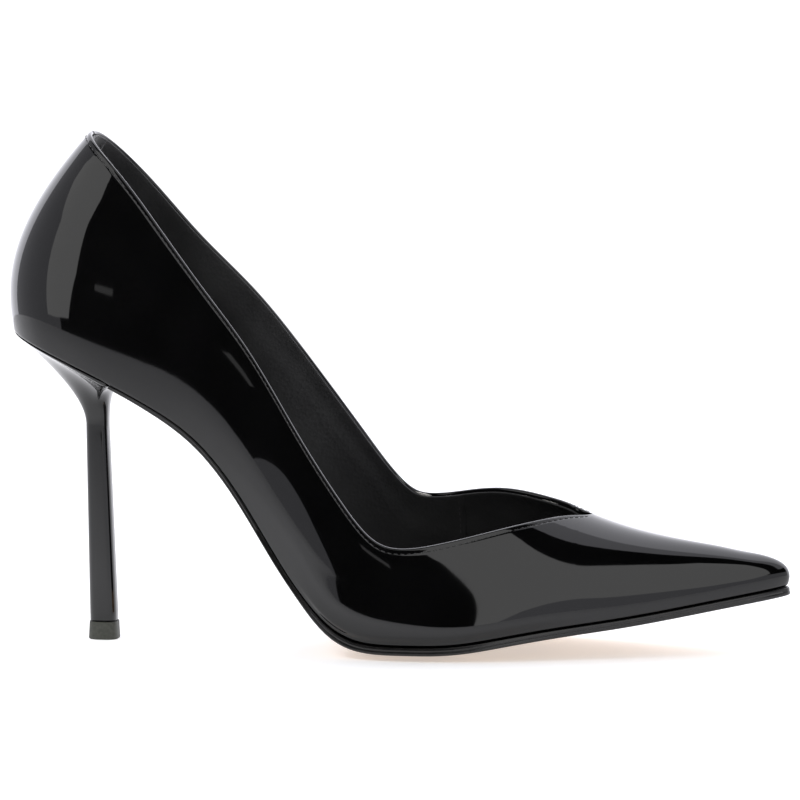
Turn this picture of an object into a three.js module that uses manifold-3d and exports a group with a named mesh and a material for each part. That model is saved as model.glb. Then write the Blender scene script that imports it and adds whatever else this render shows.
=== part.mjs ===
// High heel pump, right foot: a cemented court shoe with a pointed toe and a slim heel.
// Millimetres, +X to the toe, +Y to the inner (medial) side, +Z up.
// The origin is the centre of the top piece's ground face.

import * as THREE from 'three';
import { mergeVertices } from 'three/addons/utils/BufferGeometryUtils.js';
import Module from 'manifold-3d';

const wasm = await Module();
wasm.setup();

// ---------------------------------------------------------------- overall sizes

const LAST_LENGTH = 251.8;
const BALL_WIDTH = 72.5;
const SEAT_RISE = 98.7;

// The base last that the tables below describe, and the grade from it to the sizes above.
const BASE_LENGTH = 251.8;
const BASE_WIDTH = 72.5;
const BASE_SEAT_RISE = 98.7;
const LENGTH_GRADE = LAST_LENGTH / BASE_LENGTH;
const WIDTH_GRADE = BALL_WIDTH / BASE_WIDTH;

// ---------------------------------------------------------------- thicknesses and clearances

const GAP = 0.3;
const UPPER_THICKNESS = 0.9;
const STIFFENER_THICKNESS = 0.8;
const LINING_THICKNESS = 0.6;
const TAPE_THICKNESS = 0.3;
const TAPE_WIDTH = 4;
const TOPLINE_FOLD = 1;
const LASTING_MARGIN = 13;
const FEATHER_CHAMFER = 0.9;
const INSOLE_THICKNESS = 1.6;
const SOCK_THICKNESS = 0.8;
const PAD_THICKNESS = 2;
const PAD_EDGE = 0.5;
const OUTSOLE_FORE_THICKNESS = 2.6;
const OUTSOLE_WAIST_THICKNESS = 1.7;
const OUTSOLE_BREAST_THICKNESS = 1.1;
const OUTSOLE_FORE_PROUD = 0.6;
const OUTSOLE_WAIST_TUCK = 0.9;
const TREAD_FLAT = 0.45;
const BOTTOM_CURVE = 0.0017;
const HEEL_COVER_THICKNESS = 0.8;

// ---------------------------------------------------------------- bottom parts along the length

const BREAST_X = 6.5 * LENGTH_GRADE;
const SHANK_BOARD_FRONT_X = 90 * LENGTH_GRADE;
const BOARD_STEP_START_X = 76 * LENGTH_GRADE;
const BOARD_STEP_END_X = 98 * LENGTH_GRADE;
const BREAST_EDGE_END_X = 34 * LENGTH_GRADE;
const WAIST_EDGE_END_X = 66 * LENGTH_GRADE;
const FORE_EDGE_START_X = 88 * LENGTH_GRADE;
const FILLER_BACK_X = 98 * LENGTH_GRADE;
const FILLER_FRONT_X = 176 * LENGTH_GRADE;
const TOE_FAN_X = 170 * LENGTH_GRADE;
const HEEL_PAD_FRONT_X = 26 * LENGTH_GRADE;
const BALL_PAD_BACK_X = 99 * LENGTH_GRADE;
const BALL_PAD_FRONT_X = 142 * LENGTH_GRADE;
const HEEL_FAN_BEHIND_BREAST = 0.5;
const FAN_PULL = 0.35;
const PAD_INSET = 3;
const PAD_SKIVE = 12;
const PAD_SIDE_SHARE = 0.35;
const SOCK_DRAPE = 6;

// ---------------------------------------------------------------- heel

const TOP_PIECE_HEIGHT = 5.8;
const TOP_PIECE_LENGTH = 9.4;
const TOP_PIECE_WIDTH = 9.4;
const TOP_PIECE_DRAFT = 0.25;
const STEM_FOOT_LENGTH = 9;
const STEM_FOOT_WIDTH = 8.8;
const STEM_NECK_LENGTH = 7.4;
const STEM_NECK_WIDTH = 7.8;
const STEM_NECK_BELOW_SEAT = 14.5;
const STEM_NECK_X = -1.8;
const STEM_SHOULDER = 8;
const STEM_BACK_ROUNDING = 0.75;
const STEM_FRONT_ROUNDING = 0.6;
const CUP_REACH = 0.6;
const CUP_FALL = 0.42;
const BREAST_REACH = 0.84;
const BREAST_FALL = 0.08;
const BREAST_LIP = 1.1;
const HEEL_SEAT_INSET = 0.5;

// ---------------------------------------------------------------- hardware

const SHANK_BACK_X = -16 * LENGTH_GRADE;
const SHANK_FRONT_X = 74 * LENGTH_GRADE;
const SHANK_WIDTH = 9;
const SHANK_THICKNESS = 1.2;
const SHANK_BED = 0.6;
const RIVET_RADIUS = 1.3;
const RIVET_HEAD_RADIUS = 2.4;
const RIVET_HEAD_THICKNESS = 0.3;
const RIVET_SEAT_GAP = 0.2;
const RIVET_PLACES = { rear: 18 * LENGTH_GRADE, front: 66 * LENGTH_GRADE };
const SHANK_BOARD_THICKNESS = SHANK_BED + GAP + SHANK_THICKNESS + RIVET_SEAT_GAP + RIVET_HEAD_THICKNESS;
const PIN_RADIUS = 1.6;
const PIN_ABOVE_NECK = 6;
const DOWEL_RADIUS = 0.85;
const PIN_BORE_RADIUS = DOWEL_RADIUS + GAP;
const DOWEL_BOTTOM = 1.6;
const DOWEL_TOP = 19;
const SCREW_RADIUS = 1.6;
const SCREW_HEAD_RADIUS = 3;
const SCREW_HEAD_THICKNESS = 1;
const SCREW_DEPTH = 6.5;
const SCREW_X = -6 * LENGTH_GRADE;
const NAIL_RADIUS = 0.8;
const NAIL_HEAD_RADIUS = 1.7;
const NAIL_HEAD_THICKNESS = 0.5;
const NAIL_DEPTH = 3.6;
const NAIL_PLACES = [[-12, -8], [-12, 8], [2, -9.5], [2, 9.5]]
  .map(([x, y]) => [x * LENGTH_GRADE, y * WIDTH_GRADE]);
const HOLE_CLEAR_ABOVE = 2;
const HOLE_CLEAR_BELOW = 1;

// ---------------------------------------------------------------- the base last

// One row a station, from the back of the heel to the toe tip. The feather line is where
// the upper meets the sole. The crown is the ridge of the vamp, and behind the vamp point
// it is the top of the last, which the topline cuts below.
// x, lateral and medial half widths, crown x, crown axis y, crown half gap, crown height,
// wall rise and lean at the feather, fullness and drop at the crown.
const STATIONS = [
  [-29, 0, 0, 5, 0, 0, 172.2, 20.5, 4.4, 0.97, 33],
  [-25, 13, 13, 6, 0, 4.5, 172.7, 20.5, 4.1, 0.97, 33],
  [-15.5, 22, 22, 8.5, 0, 8.5, 172.2, 21, 3.5, 0.96, 33],
  [-3, 25.5, 25.5, 13, 0, 12, 169.2, 21, 2.5, 0.96, 33],
  [11, 24.5, 24, 21, 0, 14.5, 162.2, 21, 2, 0.97, 32],
  [24, 22, 19.5, 30, 0, 15.5, 151.2, 21, 2, 1, 30],
  [37, 20.8, 16, 40, 0, 15, 138.2, 21, 2.5, 1, 28],
  [50, 21.5, 15, 51, 0, 13, 123.2, 21, 3, 1, 26],
  [63, 25.5, 18, 63, 0, 10.5, 107.2, 21, 3.5, 1, 24],
  [76, 31, 24.5, 76, 0, 7.5, 92.2, 21, 4, 0.95, 20],
  [90, 35.3, 31, 90, 0, 4.5, 79.2, 21, 4, 0.88, 14],
  [106, 37, 35.5, 106, 0, 2, 68.7, 20, 3.5, 0.78, 7],
  [123, 35.5, 36, 123, 0.2, 0.5, 59.2, 18, 3, 0.7, 2],
  [141, 31, 32, 141, 0.5, 0, 49.7, 16, 2.5, 0.7, 0],
  [160, 24.3, 26.3, 160, 1, 0, 41.3, 13, 2, 0.66, 0],
  [178, 17.2, 20.5, 176, 1.6, 0, 36.2, 11, 1.8, 0.64, 0],
  [194, 11, 15.5, 190, 2.2, 0, 33.3, 9, 1.8, 0.64, 0.3],
  [207, 6.3, 11.7, 200, 2.7, 0, 31.6, 8, 2, 0.66, 0.8],
  [216.5, 2.6, 8.4, 206.5, 2.9, 0, 30.3, 7, 2.4, 0.72, 1.2],
  [222.8, -3, 3, 209, 3, 0, 29.8, 7, 3, 0.76, 1.4],
];
const VAMP_STATION = 14;

// Centre line of the last's bottom: x and height above the ball.
const BOTTOM_LINE = [
  [-29, 98.7], [-16, 93.1], [4.4, 83.5], [20.4, 74.6], [35.2, 63.5], [48.7, 46.6], [62.4, 25.5],
  [71.3, 13.8], [79.2, 5.9], [86.9, 1.7], [97.1, 0.1], [106, 0], [112, 0.05], [122.2, 0.85],
  [134.7, 3.15], [153, 6.6], [171.7, 9.55], [190.6, 12.95], [209.5, 16.5], [222.8, 18.9],
];

// Toplines: x and height above the ball, from the back of the heel to the vamp point.
const LATERAL_TOPLINE = [
  [-1.4, 161.6], [10.8, 149.3], [24.5, 131.2], [36.8, 114.3], [50.9, 95.4], [68.5, 68.1], [82.8, 48.1],
  [94.9, 35.6], [103.5, 33.6], [112.9, 34.7], [127.1, 37.8], [146.6, 41.7], [153.8, 42.1], [160, 41.3],
];
const MEDIAL_TOPLINE = [
  [-1.4, 161.6], [10.7, 149], [29.9, 128.4], [49.3, 109.8], [68.8, 85.6], [83.5, 64.3], [93.3, 50],
  [98.4, 45.2], [104, 44], [118.8, 46.1], [129.2, 47.2], [145, 45.5], [155.6, 43.1], [160, 41.3],
];

// ---------------------------------------------------------------- splines

// Smooth cubic through all the values, closed on itself or with free ends.
function spline(knots, values, period = 0) {
  const count = knots.length;
  const closed = period > 0;
  const width = (i) => (i === count - 1 ? knots[0] + period : knots[i + 1]) - knots[i];
  const step = (i) => (values[(i + 1) % count] - values[i]) / width(i);
  const slopes = values.map(() => 0);
  for (let pass = 0; pass < 80; pass += 1) {
    for (let i = 0; i < count; i += 1) {
      if (!closed && i === 0) {
        slopes[0] = (3 * step(0) - slopes[1]) / 2;
      } else if (!closed && i === count - 1) {
        slopes[i] = (3 * step(i - 1) - slopes[i - 1]) / 2;
      } else {
        const before = (i + count - 1) % count;
        const a = 1 / width(before);
        const b = 1 / width(i);
        const pull = 3 * (a * step(before) + b * step(i));
        slopes[i] = (pull - a * slopes[before] - b * slopes[(i + 1) % count]) / (2 * (a + b));
      }
    }
  }
  return (at) => {
    const x = closed ? at - period * Math.floor((at - knots[0]) / period) : at;
    if (!closed && x <= knots[0]) return values[0] + slopes[0] * (x - knots[0]);
    if (!closed && x >= knots[count - 1]) return values[count - 1] + slopes[count - 1] * (x - knots[count - 1]);
    let i = count - 1;
    while (i > 0 && x < knots[i]) i -= 1;
    const next = (i + 1) % count;
    const t = (x - knots[i]) / width(i);
    const s = 1 - t;
    return values[i] * (1 + 2 * t) * s * s + values[next] * (3 - 2 * t) * t * t
      + width(i) * (slopes[i] * t * s * s - slopes[next] * t * t * s);
  };
}

function smoothStep(x, from, to) {
  const t = Math.min(1, Math.max(0, (x - from) / (to - from)));
  return t * t * (3 - 2 * t);
}

function mix(a, b, t) {
  return a + (b - a) * t;
}

// ---------------------------------------------------------------- the graded last

const TIP_STATION = STATIONS.length - 1;
const LOOP = 2 * TIP_STATION;
const TREAD_STACK = OUTSOLE_FORE_THICKNESS + GAP - TREAD_FLAT;

const gradeX = (x) => x * LENGTH_GRADE;
const gradeY = (y) => y * WIDTH_GRADE;
const basePitch = spline(BOTTOM_LINE.map((p) => p[0]), BOTTOM_LINE.map((p) => p[1]));

// A height of the base last at x, raised by the pitch's share of a higher or lower seat.
function gradeZ(x, z) {
  const lift = (SEAT_RISE / BASE_SEAT_RISE - 1) * basePitch(Math.max(x, STATIONS[0][0]));
  return TREAD_STACK + z + lift;
}

function gradedLine(points) {
  return spline(points.map((p) => gradeX(p[0])), points.map((p) => gradeZ(p[0], p[1])));
}

const centreLine = gradedLine(BOTTOM_LINE);
const lateralTopline = gradedLine(LATERAL_TOPLINE);
const medialTopline = gradedLine(MEDIAL_TOPLINE);

// The bottom of the last: the surface that the lasted upper's margin lies on.
function bottomHeight(x, y) {
  return centreLine(x) + BOTTOM_CURVE * y * y;
}

function bottomPoint(x, y, height = 0) {
  const e = 0.05;
  const slopeX = (bottomHeight(x + e, y) - bottomHeight(x - e, y)) / (2 * e);
  const slopeY = (bottomHeight(x, y + e) - bottomHeight(x, y - e)) / (2 * e);
  const normal = new THREE.Vector3(-slopeX, -slopeY, 1).normalize();
  return new THREE.Vector3(x, y, bottomHeight(x, y)).addScaledVector(normal, height);
}

// The stations run along the lateral side to the toe tip and back along the medial side.
const loopRows = [];
for (let k = 0; k < LOOP; k += 1) {
  const lateral = k <= TIP_STATION;
  const row = STATIONS[lateral ? k : LOOP - k];
  const side = lateral ? -1 : 1;
  loopRows.push({
    x: gradeX(row[0]),
    y: gradeY(side * row[lateral ? 1 : 2]),
    crownX: gradeX(row[3]),
    crownY: gradeY(row[4] + side * row[5]),
    crownZ: gradeZ(row[3], row[6]),
    rise: row[7],
    lean: row[8],
    fullness: row[9],
    drop: row[10],
  });
}
const loopKnots = loopRows.map((row, k) => k);
const track = {};
for (const key of Object.keys(loopRows[0])) {
  track[key] = spline(loopKnots, loopRows.map((row) => row[key]), LOOP);
}

function feather(s) {
  return new THREE.Vector2(track.x(s), track.y(s));
}

// Outward direction in plan at the feather line.
function outward(s) {
  const e = 0.01;
  const along = feather(s + e).sub(feather(s - e));
  return new THREE.Vector2(along.y, -along.x).normalize();
}

// A rib of the last, as a cubic curve from the feather to the crown.
function ribControls(s) {
  const foot = feather(s);
  const out = outward(s);
  const start = new THREE.Vector3(foot.x, foot.y, bottomHeight(foot.x, foot.y));
  const crown = new THREE.Vector3(track.crownX(s), track.crownY(s), track.crownZ(s));
  const low = start.clone();
  low.x += out.x * track.lean(s);
  low.y += out.y * track.lean(s);
  low.z += track.rise(s);
  const high = crown.clone();
  high.x += (start.x - crown.x) * track.fullness(s);
  high.y += (start.y - crown.y) * track.fullness(s);
  high.z -= track.drop(s);
  return [start, low, high, crown];
}

function lastPoint(s, v) {
  const [a, b, c, d] = ribControls(s);
  const w = 1 - v;
  return a.multiplyScalar(w * w * w)
    .addScaledVector(b, 3 * w * w * v)
    .addScaledVector(c, 3 * w * v * v)
    .addScaledVector(d, v * v * v);
}

function sideNormal(s, v) {
  const e = 0.004;
  const up = Math.min(v, 1 - e);
  const alongS = lastPoint(s + e, v).sub(lastPoint(s - e, v));
  const alongV = lastPoint(s, up + e).sub(lastPoint(s, Math.max(0, up - e)));
  return alongS.cross(alongV).normalize();
}

function onRidge(s, v) {
  return v === 1 && Math.min(s, LOOP - s) >= VAMP_STATION;
}

function lastNormal(s, v) {
  const normal = sideNormal(s, v);
  if (onRidge(s, v)) normal.add(sideNormal(LOOP - s, v)).normalize();
  return normal;
}

// A point of the upper's outer surface, or at a depth below it.
function skinPoint(loopS, v, depth = 0) {
  const s = onRidge(loopS, v) ? Math.min(loopS, LOOP - loopS) : loopS;
  return lastPoint(s, v).addScaledVector(lastNormal(s, v), -depth);
}

function wrap(s) {
  return s - LOOP * Math.floor(s / LOOP);
}

// How far up a rib the topline cuts it: 1 at the ridge, ahead of the vamp point.
const toplineCache = new Map();
function toplineAt(loopS) {
  const s = wrap(loopS);
  if (toplineCache.has(s)) return toplineCache.get(s);
  const lateral = s <= TIP_STATION;
  const line = lateral ? lateralTopline : medialTopline;
  let low = 0.2;
  let high = 1;
  if (Math.min(s, LOOP - s) >= VAMP_STATION) low = 1;
  while (high - low > 1e-7) {
    const middle = (low + high) / 2;
    const point = lastPoint(s, middle);
    if (point.z > line(point.x)) high = middle;
    else low = middle;
  }
  toplineCache.set(s, high);
  return high;
}

// The rib parameter at a distance above the feather, or below the topline.
function aboveFeather(s, distance) {
  const [start, low] = ribControls(s);
  return distance / (3 * low.distanceTo(start));
}

function belowTopline(s, distance) {
  const top = toplineAt(s);
  const e = 0.01;
  const speed = lastPoint(s, top).distanceTo(lastPoint(s, top - e)) / e;
  return top - distance / speed;
}

// ---------------------------------------------------------------- columns

const NARROWEST_COLUMN = 0.12;

// Column places on one side, closer together where the outline turns and by the vamp point.
const sideColumns = [];
for (let s = 0; s < 13; s += 0.5) sideColumns.push(s);
sideColumns.push(13, 13.5, 13.8, 13.95);
for (let s = VAMP_STATION; s < TIP_STATION - 2; s += 1) sideColumns.push(s);
for (let s = TIP_STATION - 2; s <= TIP_STATION; s += 0.5) sideColumns.push(s);
const medialColumns = sideColumns.slice(1, -1).reverse().map((s) => LOOP - s);
const allColumns = [...sideColumns, ...medialColumns];

// Columns from one place round to another, past the ends of the list if need be.
function columnsBetween(from, to) {
  const inside = [];
  for (const shift of [-LOOP, 0, LOOP]) {
    for (const s of allColumns) {
      if (s + shift > from + NARROWEST_COLUMN && s + shift < to - NARROWEST_COLUMN) inside.push(s + shift);
    }
  }
  return [from, ...inside, to];
}

// ---------------------------------------------------------------- geometry helpers

function signedVolume(geometry) {
  const position = geometry.attributes.position;
  const index = geometry.index;
  const corners = [new THREE.Vector3(), new THREE.Vector3(), new THREE.Vector3()];
  let volume = 0;
  for (let i = 0; i < index.count; i += 3) {
    corners.forEach((corner, k) => corner.fromBufferAttribute(position, index.getX(i + k)));
    volume += corners[0].dot(corners[1].cross(corners[2])) / 6;
  }
  return volume;
}

// A closed geometry from a list of triangles, each of three points, facing outwards.
function closedGeometry(triangles) {
  const values = [];
  for (const triangle of triangles) {
    for (const point of triangle) values.push(point.x, point.y, point.z);
  }
  const soup = new THREE.BufferGeometry();
  soup.setAttribute('position', new THREE.Float32BufferAttribute(values, 3));
  const merged = mergeVertices(soup, 1e-3);
  const kept = [];
  const index = merged.index.array;
  for (let i = 0; i < index.length; i += 3) {
    const [a, b, c] = [index[i], index[i + 1], index[i + 2]];
    if (a !== b && b !== c && c !== a) kept.push(a, b, c);
  }
  merged.setIndex(kept);
  if (signedVolume(merged) < 0) {
    for (let i = 0; i < kept.length; i += 3) [kept[i], kept[i + 1]] = [kept[i + 1], kept[i]];
    merged.setIndex(kept);
  }
  return merged;
}

function quad(triangles, a, b, c, d) {
  if (a.distanceTo(c) <= b.distanceTo(d)) triangles.push([a, b, c], [a, c, d]);
  else triangles.push([a, b, d], [b, c, d]);
}

// A grid of points as triangles: rows of equal length.
function gridFaces(triangles, rows, closed = false) {
  const last = closed ? rows.length : rows.length - 1;
  for (let i = 0; i < last; i += 1) {
    const row = rows[i];
    const next = rows[(i + 1) % rows.length];
    for (let j = 0; j < row.length - 1; j += 1) {
      quad(triangles, row[j], next[j], next[j + 1], row[j + 1]);
    }
  }
}

// A body whose cross-sections are closed rings of equal length, with fanned ends.
function ringSolid(rings) {
  const triangles = [];
  const looped = rings.map((ring) => [...ring, ring[0]]);
  gridFaces(triangles, looped);
  for (const end of [0, rings.length - 1]) {
    const ring = rings[end];
    const centre = new THREE.Vector3();
    ring.forEach((point) => centre.addScaledVector(point, 1 / ring.length));
    for (let j = 0; j < ring.length; j += 1) {
      const pair = [ring[j], ring[(j + 1) % ring.length]];
      if (end > 0) pair.reverse();
      triangles.push([centre, ...pair]);
    }
  }
  return closedGeometry(triangles);
}

function toManifold(geometry) {
  const source = geometry.clone();
  source.deleteAttribute('normal');
  source.deleteAttribute('uv');
  const merged = mergeVertices(source, 1e-4);
  const mesh = new wasm.Mesh({
    numProp: 3,
    vertProperties: new Float32Array(merged.attributes.position.array),
    triVerts: new Uint32Array(merged.index.array),
  });
  return new wasm.Manifold(mesh);
}

function fromManifold(solid) {
  const mesh = solid.getMesh();
  const geometry = new THREE.BufferGeometry();
  geometry.setAttribute('position', new THREE.Float32BufferAttribute(mesh.vertProperties, 3));
  geometry.setIndex(new THREE.Uint32BufferAttribute(mesh.triVerts, 1));
  return geometry;
}

function cut(geometry, tools) {
  let solid = toManifold(geometry);
  for (const tool of tools) solid = solid.subtract(toManifold(tool));
  return fromManifold(solid);
}

// A turned piece on the line through a point along a direction: pairs of radius and height.
function turned(profile, place, direction, segments = 10) {
  const points = profile.map(([radius, height]) => new THREE.Vector2(radius, height));
  const geometry = new THREE.LatheGeometry(points, segments);
  geometry.rotateX(Math.PI / 2);
  const turn = new THREE.Quaternion().setFromUnitVectors(new THREE.Vector3(0, 0, 1), direction);
  geometry.applyQuaternion(turn);
  geometry.translate(place.x, place.y, place.z);
  return geometry;
}

// ---------------------------------------------------------------- skins that follow the last

const WALL_ROWS = 6;
const LINING_RISE_START = 16;
const LINING_RISE_END = 6;
const STIFFENER_DEPTH = UPPER_THICKNESS + GAP;
const LINING_DEPTH = STIFFENER_DEPTH + STIFFENER_THICKNESS + GAP;
const TOPLINE_LINING_DEPTH = UPPER_THICKNESS + TAPE_THICKNESS + 2 * GAP;
const WALL_THICKNESS = LINING_DEPTH + LINING_THICKNESS;

// A skin from columns of outer and inner points. The columns run round the last, and
// ahead of the vamp point the two sides meet at the ridge, so they need no top edge.
function shell({ columns, closed = false, reachesRidge, outerPoints, innerPoints }) {
  const triangles = [];
  const outside = columns.map((s) => outerPoints(wrap(s)));
  const inside = columns.map((s) => innerPoints(wrap(s)));
  const ridged = columns.map((s) => onRidge(wrap(s), toplineAt(s)));
  gridFaces(triangles, outside, closed);
  gridFaces(triangles, inside.map((column) => [...column].reverse()), closed);
  const count = columns.length;
  const top = outside[0].length - 1;
  for (let i = 0; i < (closed ? count : count - 1); i += 1) {
    const k = (i + 1) % count;
    quad(triangles, inside[i][0], inside[k][0], outside[k][0], outside[i][0]);
    const joined = ridged[i] && ridged[k] && reachesRidge;
    if (!joined) quad(triangles, outside[i][top], outside[k][top], inside[k][top], inside[i][top]);
  }
  if (!closed) {
    for (const [end, flip] of [[0, false], [count - 1, true]]) {
      for (let j = 0; j < top; j += 1) {
        const corners = [outside[end][j], outside[end][j + 1], inside[end][j + 1], inside[end][j]];
        if (flip) corners.reverse();
        quad(triangles, ...corners);
      }
    }
  }
  return closedGeometry(triangles);
}

// Points up one rib, at a depth that may change with the place.
function ribPoints(s, low, high, depth, rows = WALL_ROWS) {
  const points = [];
  for (let j = 0; j <= rows; j += 1) {
    const v = j === rows ? high : mix(low, high, j / rows);
    points.push(skinPoint(s, v, typeof depth === 'function' ? depth(s, v) : depth));
  }
  return points;
}

function skin({ columns, reachesRidge, outer, inner, low, high, rows }) {
  const face = (depth) => (s) => ribPoints(s, low(s), high(s), depth, rows);
  return shell({ columns, reachesRidge, outerPoints: face(outer), innerPoints: face(inner) });
}

// Distance up a rib that clears a height above the sloping bottom.
function ribClearing(s, height) {
  const foot = feather(s);
  const flat = bottomPoint(foot.x, foot.y, 1).z - bottomPoint(foot.x, foot.y).z;
  return aboveFeather(s, height / flat);
}

const footAbove = (s) => ribClearing(s, UPPER_THICKNESS + 2 * GAP);

// The lining lies in under the stiffeners, and comes out to the tape at the topline.
function liningDepth(s, v) {
  if (onRidge(s, toplineAt(s))) return LINING_DEPTH;
  const near = smoothStep(v, belowTopline(s, LINING_RISE_START), belowTopline(s, LINING_RISE_END));
  return mix(LINING_DEPTH, TOPLINE_LINING_DEPTH, near);
}

function lining(from, to) {
  return skin({
    columns: columnsBetween(from, to),
    reachesRidge: true,
    outer: liningDepth,
    inner: (s, v) => liningDepth(s, v) + LINING_THICKNESS,
    low: footAbove,
    high: toplineAt,
  });
}

// ---------------------------------------------------------------- places on the bottom

const HEEL_FAN_X = BREAST_X - HEEL_FAN_BEHIND_BREAST;
const MARGIN_SHARE = 0.75;

// The point on the middle line that a place on the feather line is joined to.
function spinePoint(loopS) {
  const s = Math.min(loopS, LOOP - loopS);
  const foot = feather(s);
  let x = foot.x;
  if (foot.x < HEEL_FAN_X) {
    const reach = HEEL_FAN_X - track.x(0);
    const q = (HEEL_FAN_X - foot.x) / reach;
    x = HEEL_FAN_X - reach * (q - FAN_PULL * q * q);
  } else if (foot.x > TOE_FAN_X) {
    const reach = track.x(TIP_STATION) - TOE_FAN_X;
    const q = (foot.x - TOE_FAN_X) / reach;
    x = TOE_FAN_X + reach * (q - FAN_PULL * q * q);
  }
  const axis = (track.crownY(s) + track.crownY(LOOP - s)) / 2;
  return new THREE.Vector2(x, axis);
}

// A place in plan: an inset square to the feather line, then a share of the way to the middle.
function planPoint(s, inset, share = 0, extra = 0) {
  const foot = feather(s);
  const spine = spinePoint(s);
  if (share === 1) return spine;
  const inward = spine.clone().sub(foot);
  const reach = -inward.dot(outward(s));
  const r = Math.min(MARGIN_SHARE, inset / reach) + extra / reach;
  return foot.lerp(spine, r + (1 - r) * share);
}

function stationAtX(x) {
  let low = 0;
  let high = TIP_STATION;
  while (high - low > 1e-9) {
    const middle = (low + high) / 2;
    if (track.x(middle) < x) low = middle;
    else high = middle;
  }
  return low;
}

const PLATE_ROWS = 3;

// A plate that follows the bottom from one x to another, or to the end of the last. Its
// bottom and top are heights above the last's bottom, as functions of x and of the share
// of the way from the plate's edge to its middle.
function plate({ from = null, to = null, inset, extra = 0, bottom, top, ground = -Infinity }) {
  const start = from === null ? 0 : stationAtX(from);
  const finish = to === null ? TIP_STATION : stationAtX(to);
  const inside = sideColumns.filter((s) => s > start + NARROWEST_COLUMN && s < finish - NARROWEST_COLUMN);
  const wide = 2 * PLATE_ROWS;
  const sheet = (level) => [start, ...inside, finish].map((s) => {
    const row = [];
    for (let j = 0; j <= wide; j += 1) {
      const lateral = j <= PLATE_ROWS;
      const share = (lateral ? j : wide - j) / PLATE_ROWS;
      const place = planPoint(wrap(lateral ? s : LOOP - s), inset(track.x(s)), share, extra);
      const point = bottomPoint(place.x, place.y, level(place.x, share));
      point.z = Math.max(point.z, ground);
      row.push(point);
    }
    return row;
  });
  const low = sheet(bottom);
  const high = sheet(top);
  const end = low.length - 1;
  const triangles = [];
  gridFaces(triangles, low.map((row) => [...row].reverse()));
  gridFaces(triangles, high);
  for (let i = 0; i < end; i += 1) {
    quad(triangles, low[i][0], low[i + 1][0], high[i + 1][0], high[i][0]);
    quad(triangles, high[i][wide], high[i + 1][wide], low[i + 1][wide], low[i][wide]);
  }
  const ends = [];
  if (from !== null) ends.push([0, true]);
  if (to !== null) ends.push([end, false]);
  for (const [row, flip] of ends) {
    for (let j = 0; j < wide; j += 1) {
      const corners = [low[row][j], low[row][j + 1], high[row][j + 1], high[row][j]];
      if (flip) corners.reverse();
      quad(triangles, ...corners);
    }
  }
  return closedGeometry(triangles);
}

// A strip of constant width along the middle of the bottom.
function strip(from, to, width, low, high, steps = 18) {
  const rings = [];
  for (let i = 0; i <= steps; i += 1) {
    const x = mix(from, to, i / steps);
    const half = width / 2;
    rings.push([
      bottomPoint(x, -half, low),
      bottomPoint(x, half, low),
      bottomPoint(x, half, high),
      bottomPoint(x, -half, high),
    ]);
  }
  return ringSolid(rings);
}

// ---------------------------------------------------------------- heights of the bottom stack

const BOARD_BOTTOM = UPPER_THICKNESS + GAP;
const SHANK_BOTTOM = BOARD_BOTTOM + SHANK_BED + GAP;
const SHANK_TOP = SHANK_BOTTOM + SHANK_THICKNESS;

// The insole board steps down to the forefoot where the shank board runs out.
function insoleBottom(x) {
  const rear = 1 - smoothStep(x, BOARD_STEP_START_X, BOARD_STEP_END_X);
  return BOARD_BOTTOM + (SHANK_BOARD_THICKNESS + GAP) * rear;
}

const insoleTop = (x) => insoleBottom(x) + INSOLE_THICKNESS;

// Height of a foam pad: full in its middle and thin at its edges. The sock drapes wider.
function padHeight(x, share, drape = 0) {
  const heel = 1 - smoothStep(x, HEEL_PAD_FRONT_X - PAD_SKIVE + drape, HEEL_PAD_FRONT_X + drape);
  const ballBack = smoothStep(x, BALL_PAD_BACK_X - drape, BALL_PAD_BACK_X + PAD_SKIVE - drape);
  const ballFront = smoothStep(x, BALL_PAD_FRONT_X - PAD_SKIVE + drape, BALL_PAD_FRONT_X + drape);
  const along = heel + ballBack * (1 - ballFront);
  const across = smoothStep(share, 0, PAD_SIDE_SHARE);
  return PAD_EDGE + (PAD_THICKNESS - PAD_EDGE) * along * across;
}

// The outsole is thinnest where it meets the heel breast, and thickest under the forefoot.
function outsoleThickness(x) {
  const fore = smoothStep(x, WAIST_EDGE_END_X, FORE_EDGE_START_X);
  const waist = smoothStep(x, BREAST_X, BREAST_EDGE_END_X);
  return mix(mix(OUTSOLE_BREAST_THICKNESS, OUTSOLE_WAIST_THICKNESS, waist), OUTSOLE_FORE_THICKNESS, fore);
}

function outsoleInset(x) {
  const fore = smoothStep(x, WAIST_EDGE_END_X, FORE_EDGE_START_X);
  return mix(OUTSOLE_WAIST_TUCK, -OUTSOLE_FORE_PROUD, fore);
}

// ---------------------------------------------------------------- the heel

const HEEL_ARC = 14;
const BREAST_STEPS = 8;
const CUP_STEPS = 7;
const STEM_STEPS = 3;
const COVER_SLANT = 1.25;
const HEEL_FOOT = TOP_PIECE_HEIGHT + GAP;
const NECK_HEIGHT = bottomHeight(BREAST_X, 0) - GAP - STEM_NECK_BELOW_SEAT;

function rounded(value, power) {
  return Math.sign(value) * Math.abs(value) ** power;
}

// An oval section with a squarer front: its points run round the back from the medial
// side to the lateral side, and then round the front.
function ovalSection(middle, length, width, height) {
  const points = [];
  for (let i = 0; i < HEEL_ARC + BREAST_STEPS; i += 1) {
    const back = i <= HEEL_ARC;
    const power = back ? STEM_BACK_ROUNDING : STEM_FRONT_ROUNDING;
    const angle = Math.PI * (back ? i / HEEL_ARC : 1 + (i - HEEL_ARC) / BREAST_STEPS);
    points.push(new THREE.Vector3(
      middle - length / 2 * rounded(Math.sin(angle), power),
      width / 2 * rounded(Math.cos(angle), power),
      height,
    ));
  }
  return points;
}

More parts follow.
